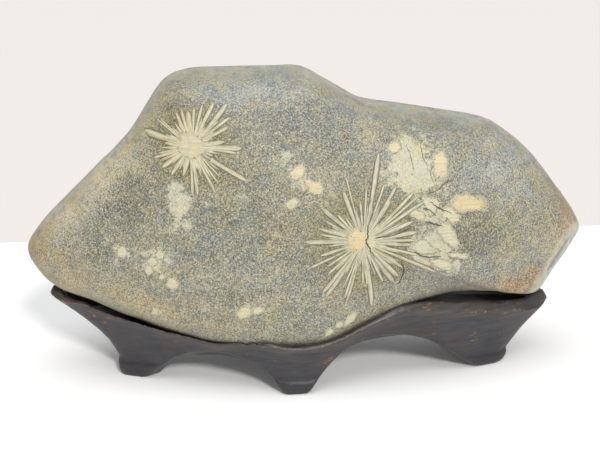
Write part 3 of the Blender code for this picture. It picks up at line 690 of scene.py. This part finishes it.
class CrystalBed:
    """Collects crystals that are set into the skin, as one mesh with the attributes of its finish."""

    def __init__(self, skin):
        """An empty bed over the skin, a BVH tree in mm."""
        self.skin = skin
        self.bm = bmesh.new()
        self.lath = self.bm.verts.layers.float_vector.new("lath")
        self.edge = self.bm.verts.layers.float.new("edge")
        self.tone = self.bm.verts.layers.float.new("tone")
        self.soft = self.bm.verts.layers.float.new("soft")
        self.count = 0

    def vertex(self, flat, rise, lath, edge, tone, soft=0.0):
        """A vertex over a flat (x, z) point, raised from the skin, with its finish values."""
        ray_start = Vector((flat[0], -2 * HALF_DEPTH, flat[1]))
        point, normal = self.skin.ray_cast(ray_start, Vector((0, 1, 0)))[:2]
        added = self.bm.verts.new(point + normal * rise)
        added[self.lath] = (lath[0], lath[1], 7.3 * self.count)
        added[self.edge] = edge
        added[self.tone] = tone
        added[self.soft] = soft
        return added

    def join(self, rings):
        """Closed walls between rings of vertices, with both ends capped."""
        for ring, following in zip(rings, rings[1:]):
            for corner in range(len(ring)):
                after = (corner + 1) % len(ring)
                self.bm.faces.new((ring[corner], ring[after], following[after], following[corner]))

    def blade(self, centre, angle, start, reach, width, rise, tone, core, draw, loose=1.0):
        """A lath-shaped crystal along a ray of its flower, fused with its neighbours over the core."""
        self.count += 1
        ray = np.array([math.cos(math.radians(angle)), math.sin(math.radians(angle))])
        side = np.array([-ray[1], ray[0]])
        stations = max(5, math.ceil((reach - start) / BLADE_STATION))
        crest = draw.uniform(-0.35, 0.35)
        sway = draw.uniform(-0.012, 0.012) * loose
        slant = draw.uniform(-0.5, 0.5) * width * loose
        rings = []
        for station in range(stations + 1):
            share = station / stations
            run = start + (reach - start) * share
            taper = min(1.0, 1 - loose * (0.7 - 1.0 * share))
            blunt = 1.0 if share < 0.94 else 0.72 - 0.3 * (station == stations)
            half = 0.5 * BLADE_SWELL * width * taper * blunt * draw.uniform(0.94, 1.06)
            warmth = tone + CORE_GLOW * loose * max(0.0, 1 - run / (2.2 * core))
            low = 1.0 if station < stations else 0.35
            middle = np.array(centre) + ray * run + side * sway * run * share * 3
            section = ((-1, -BLADE_ROOT), (-1, 0.22 * rise), (-0.62, 0.8 * rise), (crest, rise),
                       (0.62, 0.8 * rise), (1, 0.22 * rise), (1, -BLADE_ROOT))
            ring = []
            for across, height in section:
                tip = ray * slant * across * 0.5 if share > 0.9 else 0.0
                flat = middle + side * across * half + tip
                free = min(1.0, max(0.0, (run / core - 0.75) / 0.6))
                ring.append(self.vertex(flat, height * low if height > 0 else height,
                                        (run, across * half), abs(across) * (0.5 + 0.5 * free),
                                        warmth))
            rings.append(ring)
        self.join(rings)
        self.bm.faces.new(rings[0][::-1])
        self.bm.faces.new(rings[-1])

    def block(self, x, z, outline, rise, tone):
        """A low crystal with the given closed outline of (x, z) offsets from its middle."""
        self.count += 1
        steps = ((1.0, -BLADE_ROOT, 1.0), (1.0, 0.04, 0.98), (0.86, 0.6 * rise, 0.72),
                 (0.60, rise, 0.3), (0.3, rise, 0.1))
        rings = []
        for scale, height, edge in steps:
            rings.append([self.vertex((x + dx * scale, z + dz * scale), height,
                                      (dx * scale * 0.4, dz * scale), edge, tone, 1.0)
                          for dx, dz in outline])
        self.join(rings)
        crown = self.vertex((x, z), rise, (0, 0), 0.0, tone, 1.0)
        base = self.vertex((x, z), -BLADE_ROOT, (0, 0), 1.0, tone, 1.0)
        for corner in range(len(outline)):
            after = (corner + 1) % len(outline)
            self.bm.faces.new((rings[-1][corner], rings[-1][after], crown))
            self.bm.faces.new((rings[0][after], rings[0][corner], base))

    def flake(self, outline, rise, tone, draw):
        """A broad crystal within an outline of (x, z) corners."""
        corners = [np.array(corner, float) for corner in outline]
        middle = sum(corners) / len(corners)
        offsets = chipped([corner - middle for corner in corners], 2, 0.14, draw)
        self.block(*middle, offsets, rise, tone)

    def hairline(self, width, rise, route, draw):
        """A fine dark filling along a crack, pinched out at both ends."""
        self.count += 1
        points = smooth_chain(route, HAIRLINE_STEPS, closed=False)
        runs = np.gradient(points, axis=0)
        rings = []
        for index, (point, run) in enumerate(zip(points, runs)):
            side = np.array([-run[1], run[0]]) / np.linalg.norm(run)
            share = index / (len(points) - 1)
            half = 0.5 * width * (math.sin(math.pi * share) ** 0.5 + 0.15) * draw.uniform(0.7, 1.3)
            centre = point + side * draw.uniform(-0.6, 0.6) * width
            rings.append([self.vertex(centre + side * across * half, height, (share, across), 0.0, 0.0)
                          for across, height in ((-1, -BLADE_ROOT), (-0.8, rise), (0.8, rise),
                                                 (1, -BLADE_ROOT))])
        self.join(rings)
        self.bm.faces.new(rings[0][::-1])
        self.bm.faces.new(rings[-1])

    def piece(self, name, finish):
        """The crystals so far as one named piece."""
        bmesh.ops.recalc_face_normals(self.bm, faces=self.bm.faces[:])
        mesh = mesh_from(self.bm, name)
        mesh.set_sharp_from_angle(angle=math.radians(CRYSTAL_CREASE))
        return dress(name, mesh, finish)


def uneven_outline(length, width, turn, sides, draw):
    """Offsets (x, z) of a chipped polygon of the given size."""
    corners = []
    for corner in range(sides):
        around = 2 * math.pi * (corner + 0.5) / sides
        swell = draw.uniform(0.86, 1.12) / math.cos(math.pi / sides) ** 0.5
        corners.append(np.array((0.5 * length * math.cos(around), 0.5 * width * math.sin(around)))
                       * swell)
    corners = chipped(corners, 2, 0.13, draw)
    cos, sin = math.cos(math.radians(turn)), math.sin(math.radians(turn))
    return [(dx * cos - dz * sin, dx * sin + dz * cos) for dx, dz in corners]


def grow_flower(bed, flower, blades, tones, draw):
    """A flower: large blades, and thin ones that fill the gaps between them."""
    x, z, core = flower
    ordered = sorted(blades)
    for (angle, reach, _), (next_angle, next_reach, _) in zip(ordered, ordered[1:] + ordered[:1]):
        gap = (next_angle - angle) % 360
        for step in range(1, int(gap / FILLER_STEP) + 1):
            share = step / (int(gap / FILLER_STEP) + 1)
            length = min(reach, next_reach) * draw.uniform(*FILLER_REACH)
            if length > core * 1.15:
                bed.blade((x, z), angle + gap * share, 0.3 * core, length, draw.uniform(0.8, 1.4),
                          0.6 * BLADE_RISE, draw.uniform(*tones) - 0.25, core, draw)
    for angle, reach, width in blades:
        rise = BLADE_RISE * (0.6 + 0.12 * min(width, 3.5))
        bed.blade((x, z), angle, 0.2 * core, reach, width, rise, draw.uniform(*tones), core, draw)


def add_small_flower(skin, finish):
    """The upper left flower, its flaky core and the bar beside it."""
    draw = random.Random(3)
    bed = CrystalBed(skin)
    grow_flower(bed, SMALL_FLOWER, SMALL_FLOWER_BLADES, (0.1, 0.6), draw)
    x, z, core = SMALL_FLOWER
    spread = [np.array((math.cos(turn), math.sin(turn))) * core * draw.uniform(0.72, 1.0)
              for turn in np.linspace(0, 2 * math.pi, 22, endpoint=False)]
    bed.flake([(x, z) + offset for offset in spread], 1.05 * BLADE_RISE, 0.55, draw)
    bar_x, bar_z, angle, length, width = SMALL_FLOWER_BAR
    bed.blade((bar_x, bar_z), angle, 0.0, length, width, 1.3 * BLADE_RISE, 0.3, 1.0, draw, loose=0.0)
    return bed.piece("small_flower", finish)


def add_large_flower(skin, finish):
    """The middle flower and its amber core."""
    draw = random.Random(8)
    bed = CrystalBed(skin)
    grow_flower(bed, LARGE_FLOWER, LARGE_FLOWER_BLADES, (-0.2, 0.5), draw)
    x, z, core = LARGE_FLOWER
    bed.block(x - 3.2, z + 0.6, uneven_outline(2.3 * core, 2.9 * core, -10, 12, draw),
              1.05 * BLADE_RISE, 0.95)
    return bed.piece("large_flower", finish)


def add_scattered_crystals(skin, finish):
    """The flakes beside the large flower and the small blocks elsewhere."""
    draw = random.Random(21)
    bed = CrystalBed(skin)
    for tone, outline in FLAKES:
        bed.flake(outline, BLADE_RISE * draw.uniform(0.85, 1.1), tone, draw)
    for x, z, length, width, turn, sides, tone in BLOCKS:
        outline = uneven_outline(BLOCK_SWELL * length, BLOCK_SWELL * width, turn, sides, draw)
        bed.block(x, z, outline, 0.8 * BLADE_RISE, tone)
    return bed.piece("scattered_crystals", finish)


def add_hairlines(skin, finish):
    """The dark cracks."""
    draw = random.Random(5)
    bed = CrystalBed(skin)
    for width, rise, route in HAIRLINES:
        bed.hairline(width, rise, route, draw)
    return bed.piece("dark_hairlines", finish)


# ---------------------------------------------------------------- stand
def level(table, x):
    """Height at x of a profile given as (x, z) points."""
    curve = smooth_chain(table, 8, closed=False)
    return float(np.interp(x, curve[:, 0], curve[:, 1]))


def set_in(point, inward, distance, rise):
    """The point moved inwards and up, kept on its own side of the stand's middle plane."""
    moved = point + inward * distance + Vector((0, 0, rise))
    moved.y = min(moved.y, OWN_SIDE_SHARE * point.y)
    return moved


def frame_profile(frame, inward):
    """Points of one frame of the stand, from the middle of the deck round to the underside."""
    ridge_x, ridge_y, ridge_z, rise, low_x, low_y, low_z = frame
    ridge = Vector((ridge_x, ridge_y, ridge_z))
    low = Vector((low_x, low_y, low_z))
    inward = Vector((inward[0], inward[1], 0.0))
    bevel_run = RIDGE_RUN + BEVEL_SHARE * rise
    crest = set_in(ridge, inward, bevel_run, rise)
    rim = set_in(ridge, inward, bevel_run + 0.7 * RIM_WIDTH, rise - 0.3)
    rim_foot = set_in(ridge, inward, bevel_run + RIM_WIDTH, rise - RIM_DROP)
    run = (ridge_x - STAND_START) / STAND_LENGTH
    deck_x = DECK_ENDS[0] + (DECK_ENDS[1] - DECK_ENDS[0]) * run
    deck = Vector((deck_x, 0, level(DECK, deck_x)))
    ankle = max(low_z, ANKLES[0] + (ANKLES[1] - ANKLES[0]) * run)
    power = WALL_POWERS[0] + (WALL_POWERS[1] - WALL_POWERS[0]) * run
    wall = []
    for row in range(1, WALL_ROWS + 1):
        fall = row / WALL_ROWS
        inset = 1 - (1 - fall) ** power
        wall.append(Vector((*ridge.lerp(low, inset).xy, ridge_z + (ankle - ridge_z) * fall)))
    standing = max(0.0, min(1.0, (ankle - low_z) / 4))
    wall[-1] += inward * ANKLE_GROOVE * standing
    for share, swell in ((0.28, 0.6 * FOOT_SWELL), (0.62, FOOT_SWELL)):
        wall.append(Vector((*(low - inward * swell * standing).xy,
                            ankle + (low_z - ankle) * share)))
    low = low + inward * FOOT_EASE * standing
    footing = max(0.0, min(1.0, (14.0 - low_z) / 12.0))
    foot = FOOT_DEPTHS[0] + (FOOT_DEPTHS[1] - FOOT_DEPTHS[0]) * min(1.0, abs(2 * run - 1) * 1.5)
    thick = APRON_DEPTH + (foot - APRON_DEPTH) * footing
    spine_x = SPINE_ENDS[0] + (SPINE_ENDS[1] - SPINE_ENDS[0]) * run
    under = Vector((spine_x, 0, level(UNDERSIDE, spine_x)))
    to_spine = Vector((*(under - low).xy, 0.0))
    low_in = low + to_spine * min(0.8, thick / to_spine.length)
    inner_top = low + to_spine * min(0.9, (thick + INNER_DRAFT) / to_spine.length)
    inner_top.z = max(min(low_z, under.z), 0.5 * (low_z + under.z), under.z - 1.0)
    if low_z > under.z:
        low_in.z -= min(ARCH_FALL[1], ARCH_FALL[0] * (low_z - under.z))
        inner_top.z = low_in.z + CEILING_SHARE * (under.z - low_in.z)
    belly = inner_top.lerp(under, BELLY_SHARES[0])
    belly.z = under.z + BELLY_SHARES[1] * (inner_top.z - under.z)
    return [deck, rim_foot, rim, crest, ridge] + wall + [low, low_in, inner_top, belly, under]


def stand_loft():
    """The stand before its seat is cut, with the points of its ridge and of its low edge, in mm."""
    frames = smooth_chain(STAND_FRAMES, FRAME_STEPS, closed=False)
    frames[:, 6] = np.maximum(frames[:, 6], 0.0)
    tangents = np.gradient(frames[:, :2], axis=0)
    tangents[0] = (0.0, -1.0)
    tangents[-1] = (0.0, 1.0)
    tangents /= np.linalg.norm(tangents, axis=1)[:, None]
    inwards = np.stack([-tangents[:, 1], tangents[:, 0]], axis=1)
    show_side = [frame_profile(frame, inward) for frame, inward in zip(frames, inwards)]
    back_side = [[Vector((p.x, -p.y, p.z)) for p in profile] for profile in show_side[-2:0:-1]]
    profiles = show_side + back_side
    loft = bmesh.new()
    rings = [[loft.verts.new(point) for point in profile] for profile in profiles]
    for ring, following in zip(rings, rings[1:] + rings[:1]):
        for row in range(len(ring) - 1):
            loft.faces.new((ring[row], ring[row + 1], following[row + 1], following[row]))
    bmesh.ops.remove_doubles(loft, verts=loft.verts[:], dist=0.01)
    bmesh.ops.recalc_face_normals(loft, faces=loft.faces[:])
    return loft, [profile[RIDGE] for profile in profiles], [profile[LOW_EDGE] for profile in profiles]


def applied(piece):
    """The piece's mesh as its modifiers leave it; the modifiers are removed."""
    evaluated = piece.evaluated_get(bpy.context.evaluated_depsgraph_get())
    mesh = bpy.data.meshes.new_from_object(evaluated)
    piece.modifiers.clear()
    return mesh


def carve_stand(name):
    """The stand's mesh: the loft with the seat cut out, its edges eased and its tool marks."""
    loft, ridge, low_edge = stand_loft()
    blank = bpy.data.objects.new("blank", mesh_from(loft, "blank"))
    seat = bpy.data.objects.new("seat", mesh_from(boulder(SEAT_DIVISIONS, False), "seat"))
    for form in (blank, seat):
        link(form)
    cut = blank.modifiers.new("seat", "BOOLEAN")
    cut.operation = "DIFFERENCE"
    cut.object = seat
    grain = blank.modifiers.new("even_mesh", "REMESH")
    grain.mode = "VOXEL"
    grain.voxel_size = STAND_VOXEL * MM
    eased = blank.modifiers.new("eased_edges", "SMOOTH")
    eased.factor = 0.5
    eased.iterations = 3
    mesh = applied(blank)
    mesh.name = name
    for form in (blank, seat):
        bpy.data.objects.remove(form)
    mark_wood(mesh, ridge, low_edge)
    return mesh


def distance_to(line, points):
    """Distance of each point from the nearest point of a line."""
    tree = KDTree(len(line))
    for index, place in enumerate(line):
        tree.insert(place, index)
    tree.balance()
    return np.array([tree.find(Vector(point))[2] for point in points])


def mark_wood(mesh, ridge, low_edge):
    """Raises the tool marks and writes the wear, the dusty bevel with its painted sheen and the painted
    shade low on the feet.
    """
    points = drawing_points(mesh)
    normals = vertex_normals(mesh)
    marks = np.zeros(len(points))
    for height, size in TOOL_MARKS:
        marks += height * np.array([noise.noise(Vector(point) / size) for point in points])
    marks *= np.clip(points[:, 2] / 3, 0, 1)
    points += normals * marks[:, None]
    mesh.vertices.foreach_set("co", to_frame(points).ravel())
    distance = distance_to(ridge, points)
    low_distance = distance_to(low_edge, points)
    wear = np.exp(-(distance / WEAR_REACHES[0]) ** 2)
    wear += 0.6 * np.exp(-(low_distance / WEAR_REACHES[1]) ** 2)
    near_x, near_z = wandered(points, 4.0, 2.0)
    for x, z, reach_x, reach_z, strength in WORN_PLACES:
        rubbed = strength * patch(near_x, near_z, x, z, reach_x, reach_z, 0) * (points[:, 1] < 0)
        wear = np.maximum(wear, rubbed)
    write_attribute(mesh, "wear", "FLOAT", wear)
    # Painted shade low on the feet.
    write_attribute(mesh, "foot", "FLOAT", np.clip(1 - points[:, 2] / FOOT_SHADE, 0, 1))
    write_attribute(mesh, "bevel", "FLOAT", np.exp(-(distance / BEVEL_REACH) ** 2))
    mesh.shade_smooth()
    mesh.update()


# ---------------------------------------------------------------- material nodes
class Finish:
    """A material and short calls that add its nodes."""

    def __init__(self, name):
        """A new material and its shader."""
        self.material = bpy.data.materials.new(name)
        self.material.use_nodes = True
        self.tree = self.material.node_tree
        self.shader = self.tree.nodes["Principled BSDF"]
        self.output = self.tree.nodes["Material Output"]

    def node(self, kind, **settings):
        """A new node with the given settings."""
        added = self.tree.nodes.new(kind)
        for key, value in settings.items():
            setattr(added, key, value)
        return added

    def feed(self, socket, value):
        """Links an output to the socket, or sets the socket's own value."""
        if isinstance(value, bpy.types.NodeSocket):
            self.tree.links.new(value, socket)
        elif isinstance(value, tuple) and len(value) == 3 and len(socket.default_value) == 4:
            socket.default_value = (*value, 1.0)
        else:
            socket.default_value = value

    def place(self, stretch=(1.0, 1.0, 1.0)):
        """Object coordinates in mm, divided by the stretch along each axis."""
        source = self.node("ShaderNodeTexCoord").outputs["Object"]
        scaled = self.node("ShaderNodeVectorMath", operation="MULTIPLY")
        self.feed(scaled.inputs[0], source)
        scaled.inputs[1].default_value = [1 / (MM * share) for share in stretch]
        return scaled.outputs[0]

    def attribute(self, name, output="Fac"):
        """One of the mesh's own attributes."""
        return self.node("ShaderNodeAttribute", attribute_name=name).outputs[output]

    def noise(self, vector, size, detail=2.0, roughness=0.5, distortion=0.0):
        """Noise of features about size long, 0 to 1 with 0.5 in the middle."""
        texture = self.node("ShaderNodeTexNoise")
        self.feed(texture.inputs["Vector"], vector)
        texture.inputs["Scale"].default_value = 1 / size
        texture.inputs["Detail"].default_value = detail
        texture.inputs["Roughness"].default_value = roughness
        texture.inputs["Distortion"].default_value = distortion
        return texture.outputs["Fac"]

    def sum(self, operation, first, second=0.0, third=0.0):
        """The result of a math operation."""
        added = self.node("ShaderNodeMath", operation=operation)
        for socket, value in zip(added.inputs, (first, second, third)):
            self.feed(socket, value)
        return added.outputs[0]

    def span(self, value, low, high, to_low=0.0, to_high=1.0, smooth=False):
        """The value's run from low to high mapped to another run, clamped."""
        added = self.node("ShaderNodeMapRange")
        added.interpolation_type = "SMOOTHSTEP" if smooth else "LINEAR"
        for key, number in (("Value", value), ("From Min", low), ("From Max", high),
                            ("To Min", to_low), ("To Max", to_high)):
            self.feed(added.inputs[key], number)
        return added.outputs["Result"]

    def mix(self, share, first, second, blend="MIX"):
        """Two colours mixed or blended by a share."""
        added = self.node("ShaderNodeMix", data_type="RGBA", blend_type=blend)
        for socket, value in zip((added.inputs[0], added.inputs[6], added.inputs[7]),
                                 (share, first, second)):
            self.feed(socket, value)
        return added.outputs[2]

    def brighten(self, colour, factor):
        """The colour times a number."""
        scaled = self.node("ShaderNodeVectorMath", operation="SCALE")
        self.feed(scaled.inputs[0], colour)
        self.feed(scaled.inputs["Scale"], factor)
        return scaled.outputs[0]

    def bump(self, height, depth):
        """Relief of the given depth in mm where the height runs from 0 to 1."""
        added = self.node("ShaderNodeBump")
        added.inputs["Strength"].default_value = 1.0
        added.inputs["Distance"].default_value = depth * MM
        self.feed(added.inputs["Height"], height)
        self.feed(self.shader.inputs["Normal"], added.outputs[0])

    def grains(self, place):
        """The coarse and the fine grain of the basalt, and both as one field from dark to light."""
        coarse = self.noise(place, GRAIN_SIZES[0], 2.0, 0.7)
        fine = self.noise(place, GRAIN_SIZES[1], 1.0, 0.5)
        pepper = self.sum("ADD", self.span(coarse, 0.30, 0.70, -0.95, 0.95),
                          self.span(fine, 0.3, 0.7, -0.45, 0.45))
        return coarse, fine, pepper

    def salted(self, ground, pepper):
        """The ground colour with its light and dark grains."""
        colour = self.mix(self.span(pepper, 0.0, 1.0), ground, self.mix(FLECK_SHARE, ground, FLECK))
        return self.mix(self.span(pepper, 0.0, -1.0), colour, self.mix(SOOT_SHARE, ground, SOOT))

    def set(self, **values):
        """Feeds the shader's inputs, with _ for each space in their names."""
        for key, value in values.items():
            self.feed(self.shader.inputs[key.replace("_", " ")], value)


def speckled_stone():
    """Worn basalt: salt-and-pepper grain over the painted zones, with mist and faint veins."""
    finish = Finish("speckled_stone")
    place = finish.place()
    tint = finish.attribute("tint", "Color")
    grain = finish.attribute("grain")
    cloud = finish.attribute("cloud")
    coarse, fine, pepper = finish.grains(place)
    mottle = finish.noise(place, 9.0, 5.0, 0.7)
    drift = finish.noise(finish.place((1.0, 1.0, 0.8)), 6.5, 3.0, 0.6, 0.4)
    ground = finish.mix(finish.span(drift, 0.46, 0.66, 0.0, 0.65), tint, GROUND_WARM)
    ground = finish.mix(finish.span(drift, 0.52, 0.34, 0.0, 0.6), ground, GROUND_COOL)
    ground = finish.brighten(ground, finish.span(mottle, 0.3, 0.7, 0.80, 1.18))
    for size, hue in HUES:
        spread = finish.span(finish.noise(place, size, 4.0, 0.6), 0.48, 0.64, smooth=True)
        ground = finish.mix(spread, ground, hue, "MULTIPLY")
    pepper = finish.sum("MULTIPLY", pepper, grain)
    colour = finish.salted(ground, pepper)
    # Darker, browner ground round the flowers.
    colour = finish.mix(finish.attribute("darkening"), colour, DARKER_TINT, "MULTIPLY")
    vein_field = finish.noise(place, 38.0, 3.0, 0.55, 0.6)
    vein = finish.span(finish.sum("ABSOLUTE", finish.sum("SUBTRACT", vein_field, 0.5)), 0.0, 0.006,
                       1.0, 0.0)
    vein = finish.sum("MULTIPLY", vein, finish.span(mottle, 0.45, 0.6, 0.0, 0.4))
    colour = finish.mix(vein, colour, MIST)
    mist = finish.sum("ADD", cloud, finish.span(finish.noise(place, 3.4, 5.0, 0.7), 0.2, 0.8,
                                                -0.42, 0.42))
    mist = finish.span(mist, 0.38, 0.68, 0.0, MIST_STRENGTH, smooth=True)
    crack_field = finish.noise(place, 4.2, 2.0, 0.6, 1.2)
    crack = finish.span(finish.sum("ABSOLUTE", finish.sum("SUBTRACT", crack_field, 0.5)), 0.0,
                        0.022, 0.35, 1.0)
    shade = finish.brighten(finish.mix(finish.span(drift, 0.4, 0.6), MIST, MIST_WARM),
                            finish.sum("MULTIPLY_ADD", pepper, 0.18, 1.0))
    colour = finish.mix(finish.sum("MULTIPLY", mist, crack), colour, shade)
    finish.set(Base_Color=colour, Roughness=finish.span(coarse, 0.3, 0.7, 0.50, 0.62))
    finish.shader.inputs["Specular IOR Level"].default_value = 0.42
    finish.bump(finish.sum("ADD", coarse, fine), 0.06)
    return finish.material


def fibrous_crystal():
    """Calcite laths: cream to amber, with fibres along each lath, darker sides and specks."""
    finish = Finish("fibrous_crystal")
    place = finish.place()
    tone = finish.attribute("tone")
    edge = finish.attribute("edge")
    thin = finish.node("ShaderNodeVectorMath", operation="MULTIPLY")
    finish.feed(thin.inputs[0], finish.attribute("lath", "Vector"))
    thin.inputs[1].default_value = (0.16, 1.7, 1.0)
    fibre = finish.noise(thin.outputs[0], 1.0, 3.0, 0.6)
    patchy = finish.noise(place, 3.0, 3.0, 0.65)
    tone = finish.sum("ADD", tone, finish.span(patchy, 0.25, 0.75, -0.3, 0.3))
    colour = finish.mix(finish.span(tone, -0.6, 0.0), DULL, CHALK)
    colour = finish.mix(finish.span(tone, 0.0, 0.45), colour, CREAM)
    colour = finish.mix(finish.span(tone, 0.5, 1.1), colour, AMBER)
    colour = finish.brighten(colour, finish.span(fibre, 0.25, 0.75, 0.78, 1.14))
    lath_only = finish.sum("MULTIPLY_ADD", finish.attribute("soft"), -0.8, 1.0)
    threads = finish.sum("MULTIPLY", finish.span(fibre, 0.44, 0.30, 0.0, 0.6), lath_only)
    colour = finish.mix(threads, colour, CRYSTAL_DARK)
    colour = finish.brighten(colour, finish.span(patchy, 0.3, 0.7, 0.90, 1.06))
    # Darker at the blades' sides, less so on the blocks.
    dark_sides = finish.span(finish.sum("ADD", edge, finish.span(fibre, 0.2, 0.8, -0.15, 0.15)),
                       0.36, 0.84, 0.0, 0.9, smooth=True)
    side_weight = finish.sum("MULTIPLY_ADD", finish.attribute("soft"), -0.6, 1.0)
    dark_sides = finish.sum("MULTIPLY", dark_sides, side_weight)
    colour = finish.mix(dark_sides, colour, CRYSTAL_DARK)
    coarse, _, pepper = finish.grains(place)
    colour = finish.mix(finish.span(coarse, 0.60, 0.74, 0.0, 0.45), colour, CRYSTAL_DARK)
    ragged = finish.sum("MULTIPLY_ADD", finish.span(patchy, 0.3, 0.7, -1.0, 1.0), 0.42, edge)
    ragged = finish.sum("MULTIPLY_ADD", pepper, -0.16, ragged)
    ragged = finish.span(ragged, 0.50, 0.80, smooth=True)
    ragged = finish.sum("MULTIPLY", ragged, finish.attribute("soft"))
    colour = finish.mix(ragged, colour, finish.salted(CRYSTAL_BED, pepper))
    finish.set(Base_Color=colour, Roughness=finish.span(fibre, 0.3, 0.7, 0.42, 0.55))
    finish.shader.inputs["Specular IOR Level"].default_value = 0.45
    finish.bump(fibre, 0.05)
    return finish.material


def dark_filling():
    """Greenish-black earth in the cracks."""
    finish = Finish("dark_filling")
    grit = finish.noise(finish.place(), 1.1, 2.0, 0.6)
    finish.set(Base_Color=finish.mix(finish.span(grit, 0.35, 0.65), CRACK_DARK, CRACK_LIGHT),
               Roughness=finish.span(grit, 0.3, 0.7, 0.6, 0.8))
    finish.bump(grit, 0.1)
    return finish.material


def rubbed_wood():
    """Dark stained hardwood: faint streaks along the grain, rubbed brown on the ridge and edges."""
    finish = Finish("rubbed_wood")
    streak_place = finish.place((9.0, 9.0, 1.0))
    fleck_place = finish.place((3.2, 3.2, 1.0))
    streak = finish.noise(streak_place, 1.8, 4.0, 0.6, 0.3)
    thread = finish.noise(streak_place, 0.55, 2.0, 0.6)
    blotch = finish.noise(finish.place((1.6, 1.6, 1.0)), 11.0, 4.0, 0.65)
    wear = finish.attribute("wear")
    bevel = finish.attribute("bevel")
    colour = finish.mix(finish.span(streak, 0.34, 0.70), WOOD_DARK, WOOD_LIGHT)
    colour = finish.mix(finish.span(blotch, 0.48, 0.68, 0.0, 0.65), colour, WOOD_BROWN)
    colour = finish.brighten(colour, finish.span(thread, 0.3, 0.72, 0.86, 1.16))
    # Dust and painted sheen on the bevel behind the ridge.
    dust_and_sheen = finish.sum("MULTIPLY", bevel, finish.span(streak, 0.35, 0.65, 0.1, 0.6))
    colour = finish.mix(dust_and_sheen, colour, WOOD_DUST_AND_SHEEN)
    # Painted shade: the wood darkens towards the floor.
    colour = finish.mix(finish.sum("MULTIPLY", finish.attribute("foot"), 0.9), colour, WOOD_DARK)
    chips = finish.noise(fleck_place, 1.5, 3.0, 0.75)
    rubbed = finish.sum("MULTIPLY_ADD", wear, 0.15, chips)
    rubbed = finish.sum("MULTIPLY_ADD", finish.span(blotch, 0.4, 0.7, -1.0, 1.0), 0.035, rubbed)
    colour = finish.mix(finish.span(rubbed, 0.665, 0.74, 0.0, 0.85), colour, WOOD_RUBBED)
    finish.set(Base_Color=colour, Roughness=finish.span(streak, 0.3, 0.7, 0.34, 0.50))
    finish.shader.inputs["Specular IOR Level"].default_value = 0.45
    finish.shader.inputs["Coat Weight"].default_value = 0.1
    finish.shader.inputs["Coat Roughness"].default_value = 0.35
    finish.bump(finish.sum("ADD", streak, finish.sum("MULTIPLY", thread, 0.4)), 0.10)
    return finish.material


def plain(name, colour, roughness, glow):
    """An even finish for the stage, which may glow faintly."""
    finish = Finish(name)
    finish.set(Base_Color=colour, Roughness=roughness, Emission_Color=colour, Emission_Strength=glow)
    return finish.material


# ---------------------------------------------------------------- camera, light, stage
def link(thing):
    """Puts an object into the scene and gives it back."""
    bpy.context.scene.collection.objects.link(thing)
    return thing


def direction(azimuth, elevation):
    """Unit vector from the origin towards an azimuth and elevation in degrees; 0, 0 is -Y."""
    turn, rise = math.radians(azimuth), math.radians(elevation)
    return Vector((math.sin(turn) * math.cos(rise), -math.cos(turn) * math.cos(rise),
                   math.sin(rise)))


def add_camera():
    """The camera at the photograph's viewing angle."""
    away = direction(VIEW_AZIMUTH, VIEW_ELEVATION)
    target = Vector(to_frame(VIEW_TARGET))
    camera = bpy.data.objects.new("camera", bpy.data.cameras.new("camera"))
    camera.data.lens = LENS
    camera.location = target + away * VIEW_DISTANCE * MM
    camera.rotation_euler = (target - camera.location).to_track_quat("-Z", "Y").to_euler()
    bpy.context.scene.camera = link(camera)


def add_sun(name, azimuth, elevation, width, strength, colour):
    """A sun that shines from the given direction, soft by its apparent width."""
    light = bpy.data.lights.new(name, "SUN")
    light.angle = math.radians(width)
    light.energy = strength
    light.color = colour
    towards = direction(azimuth, elevation)
    lamp = bpy.data.objects.new(name, light)
    lamp.rotation_euler = towards.to_track_quat("Z", "Y").to_euler()
    lamp.location = towards * 2
    link(lamp)


def add_ground(name, near_y, far_y, finish):
    """A level sheet across the stage between two depths, in metres."""
    mesh = bpy.data.meshes.new(name)
    corners = [(x, y, 0.0) for x, y in ((-STAGE_REACH, near_y), (STAGE_REACH, near_y),
                                        (STAGE_REACH, far_y), (-STAGE_REACH, far_y))]
    mesh.from_pydata(corners, [], [range(4)])
    mesh.materials.append(finish)
    sheet = bpy.data.objects.new(name, mesh)
    link(sheet)


def add_stage():
    """The level ground, the suns and the even sky."""
    seam_y = (SEAM_Y - MIDDLE[1]) * MM
    add_ground("floor", -STAGE_REACH, seam_y, plain("white_floor", FLOOR_PAINT, 0.7, FLOOR_GLOW))
    add_ground("far_ground", seam_y, STAGE_REACH, plain("warm_ground", FAR_PAINT, 0.8, 0.0))
    for sun in SUNS:
        add_sun(*sun)
    world = bpy.data.worlds.new("studio")
    world.use_nodes = True
    world.node_tree.nodes["Background"].inputs["Color"].default_value = (*SKY_PAINT, 1.0)
    world.node_tree.nodes["Background"].inputs["Strength"].default_value = SKY_STRENGTH
    bpy.context.scene.world = world
    bpy.context.scene.view_settings.view_transform = "Standard"


# ---------------------------------------------------------------- pieces
def dress(name, mesh, finish):
    """A piece with its finish, riding on the one body under the given name."""
    mesh.materials.append(finish)
    piece = bpy.data.objects.new(name, mesh)
    link(piece)
    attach(piece, "root")
    return piece


def add_stone():
    """The skin and the crystals that sit on it."""
    skin_bm = boulder(SKIN_DIVISIONS, True)
    skin = BVHTree.FromBMesh(skin_bm)
    mesh = mesh_from(skin_bm, "stone_skin")
    paint_skin(mesh)
    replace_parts(dress("stone_skin", mesh, speckled_stone()), "stone")
    crystal = fibrous_crystal()
    add_small_flower(skin, crystal)
    add_large_flower(skin, crystal)
    add_scattered_crystals(skin, crystal)
    add_hairlines(skin, dark_filling())


def add_stand():
    """The carved stand."""
    piece = dress("carved_stand", carve_stand("carved_stand"), rubbed_wood())
    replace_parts(piece, "stand")


def main():
    """Builds the scene."""
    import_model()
    add_camera()
    add_stage()
    add_stone()
    add_stand()


main()
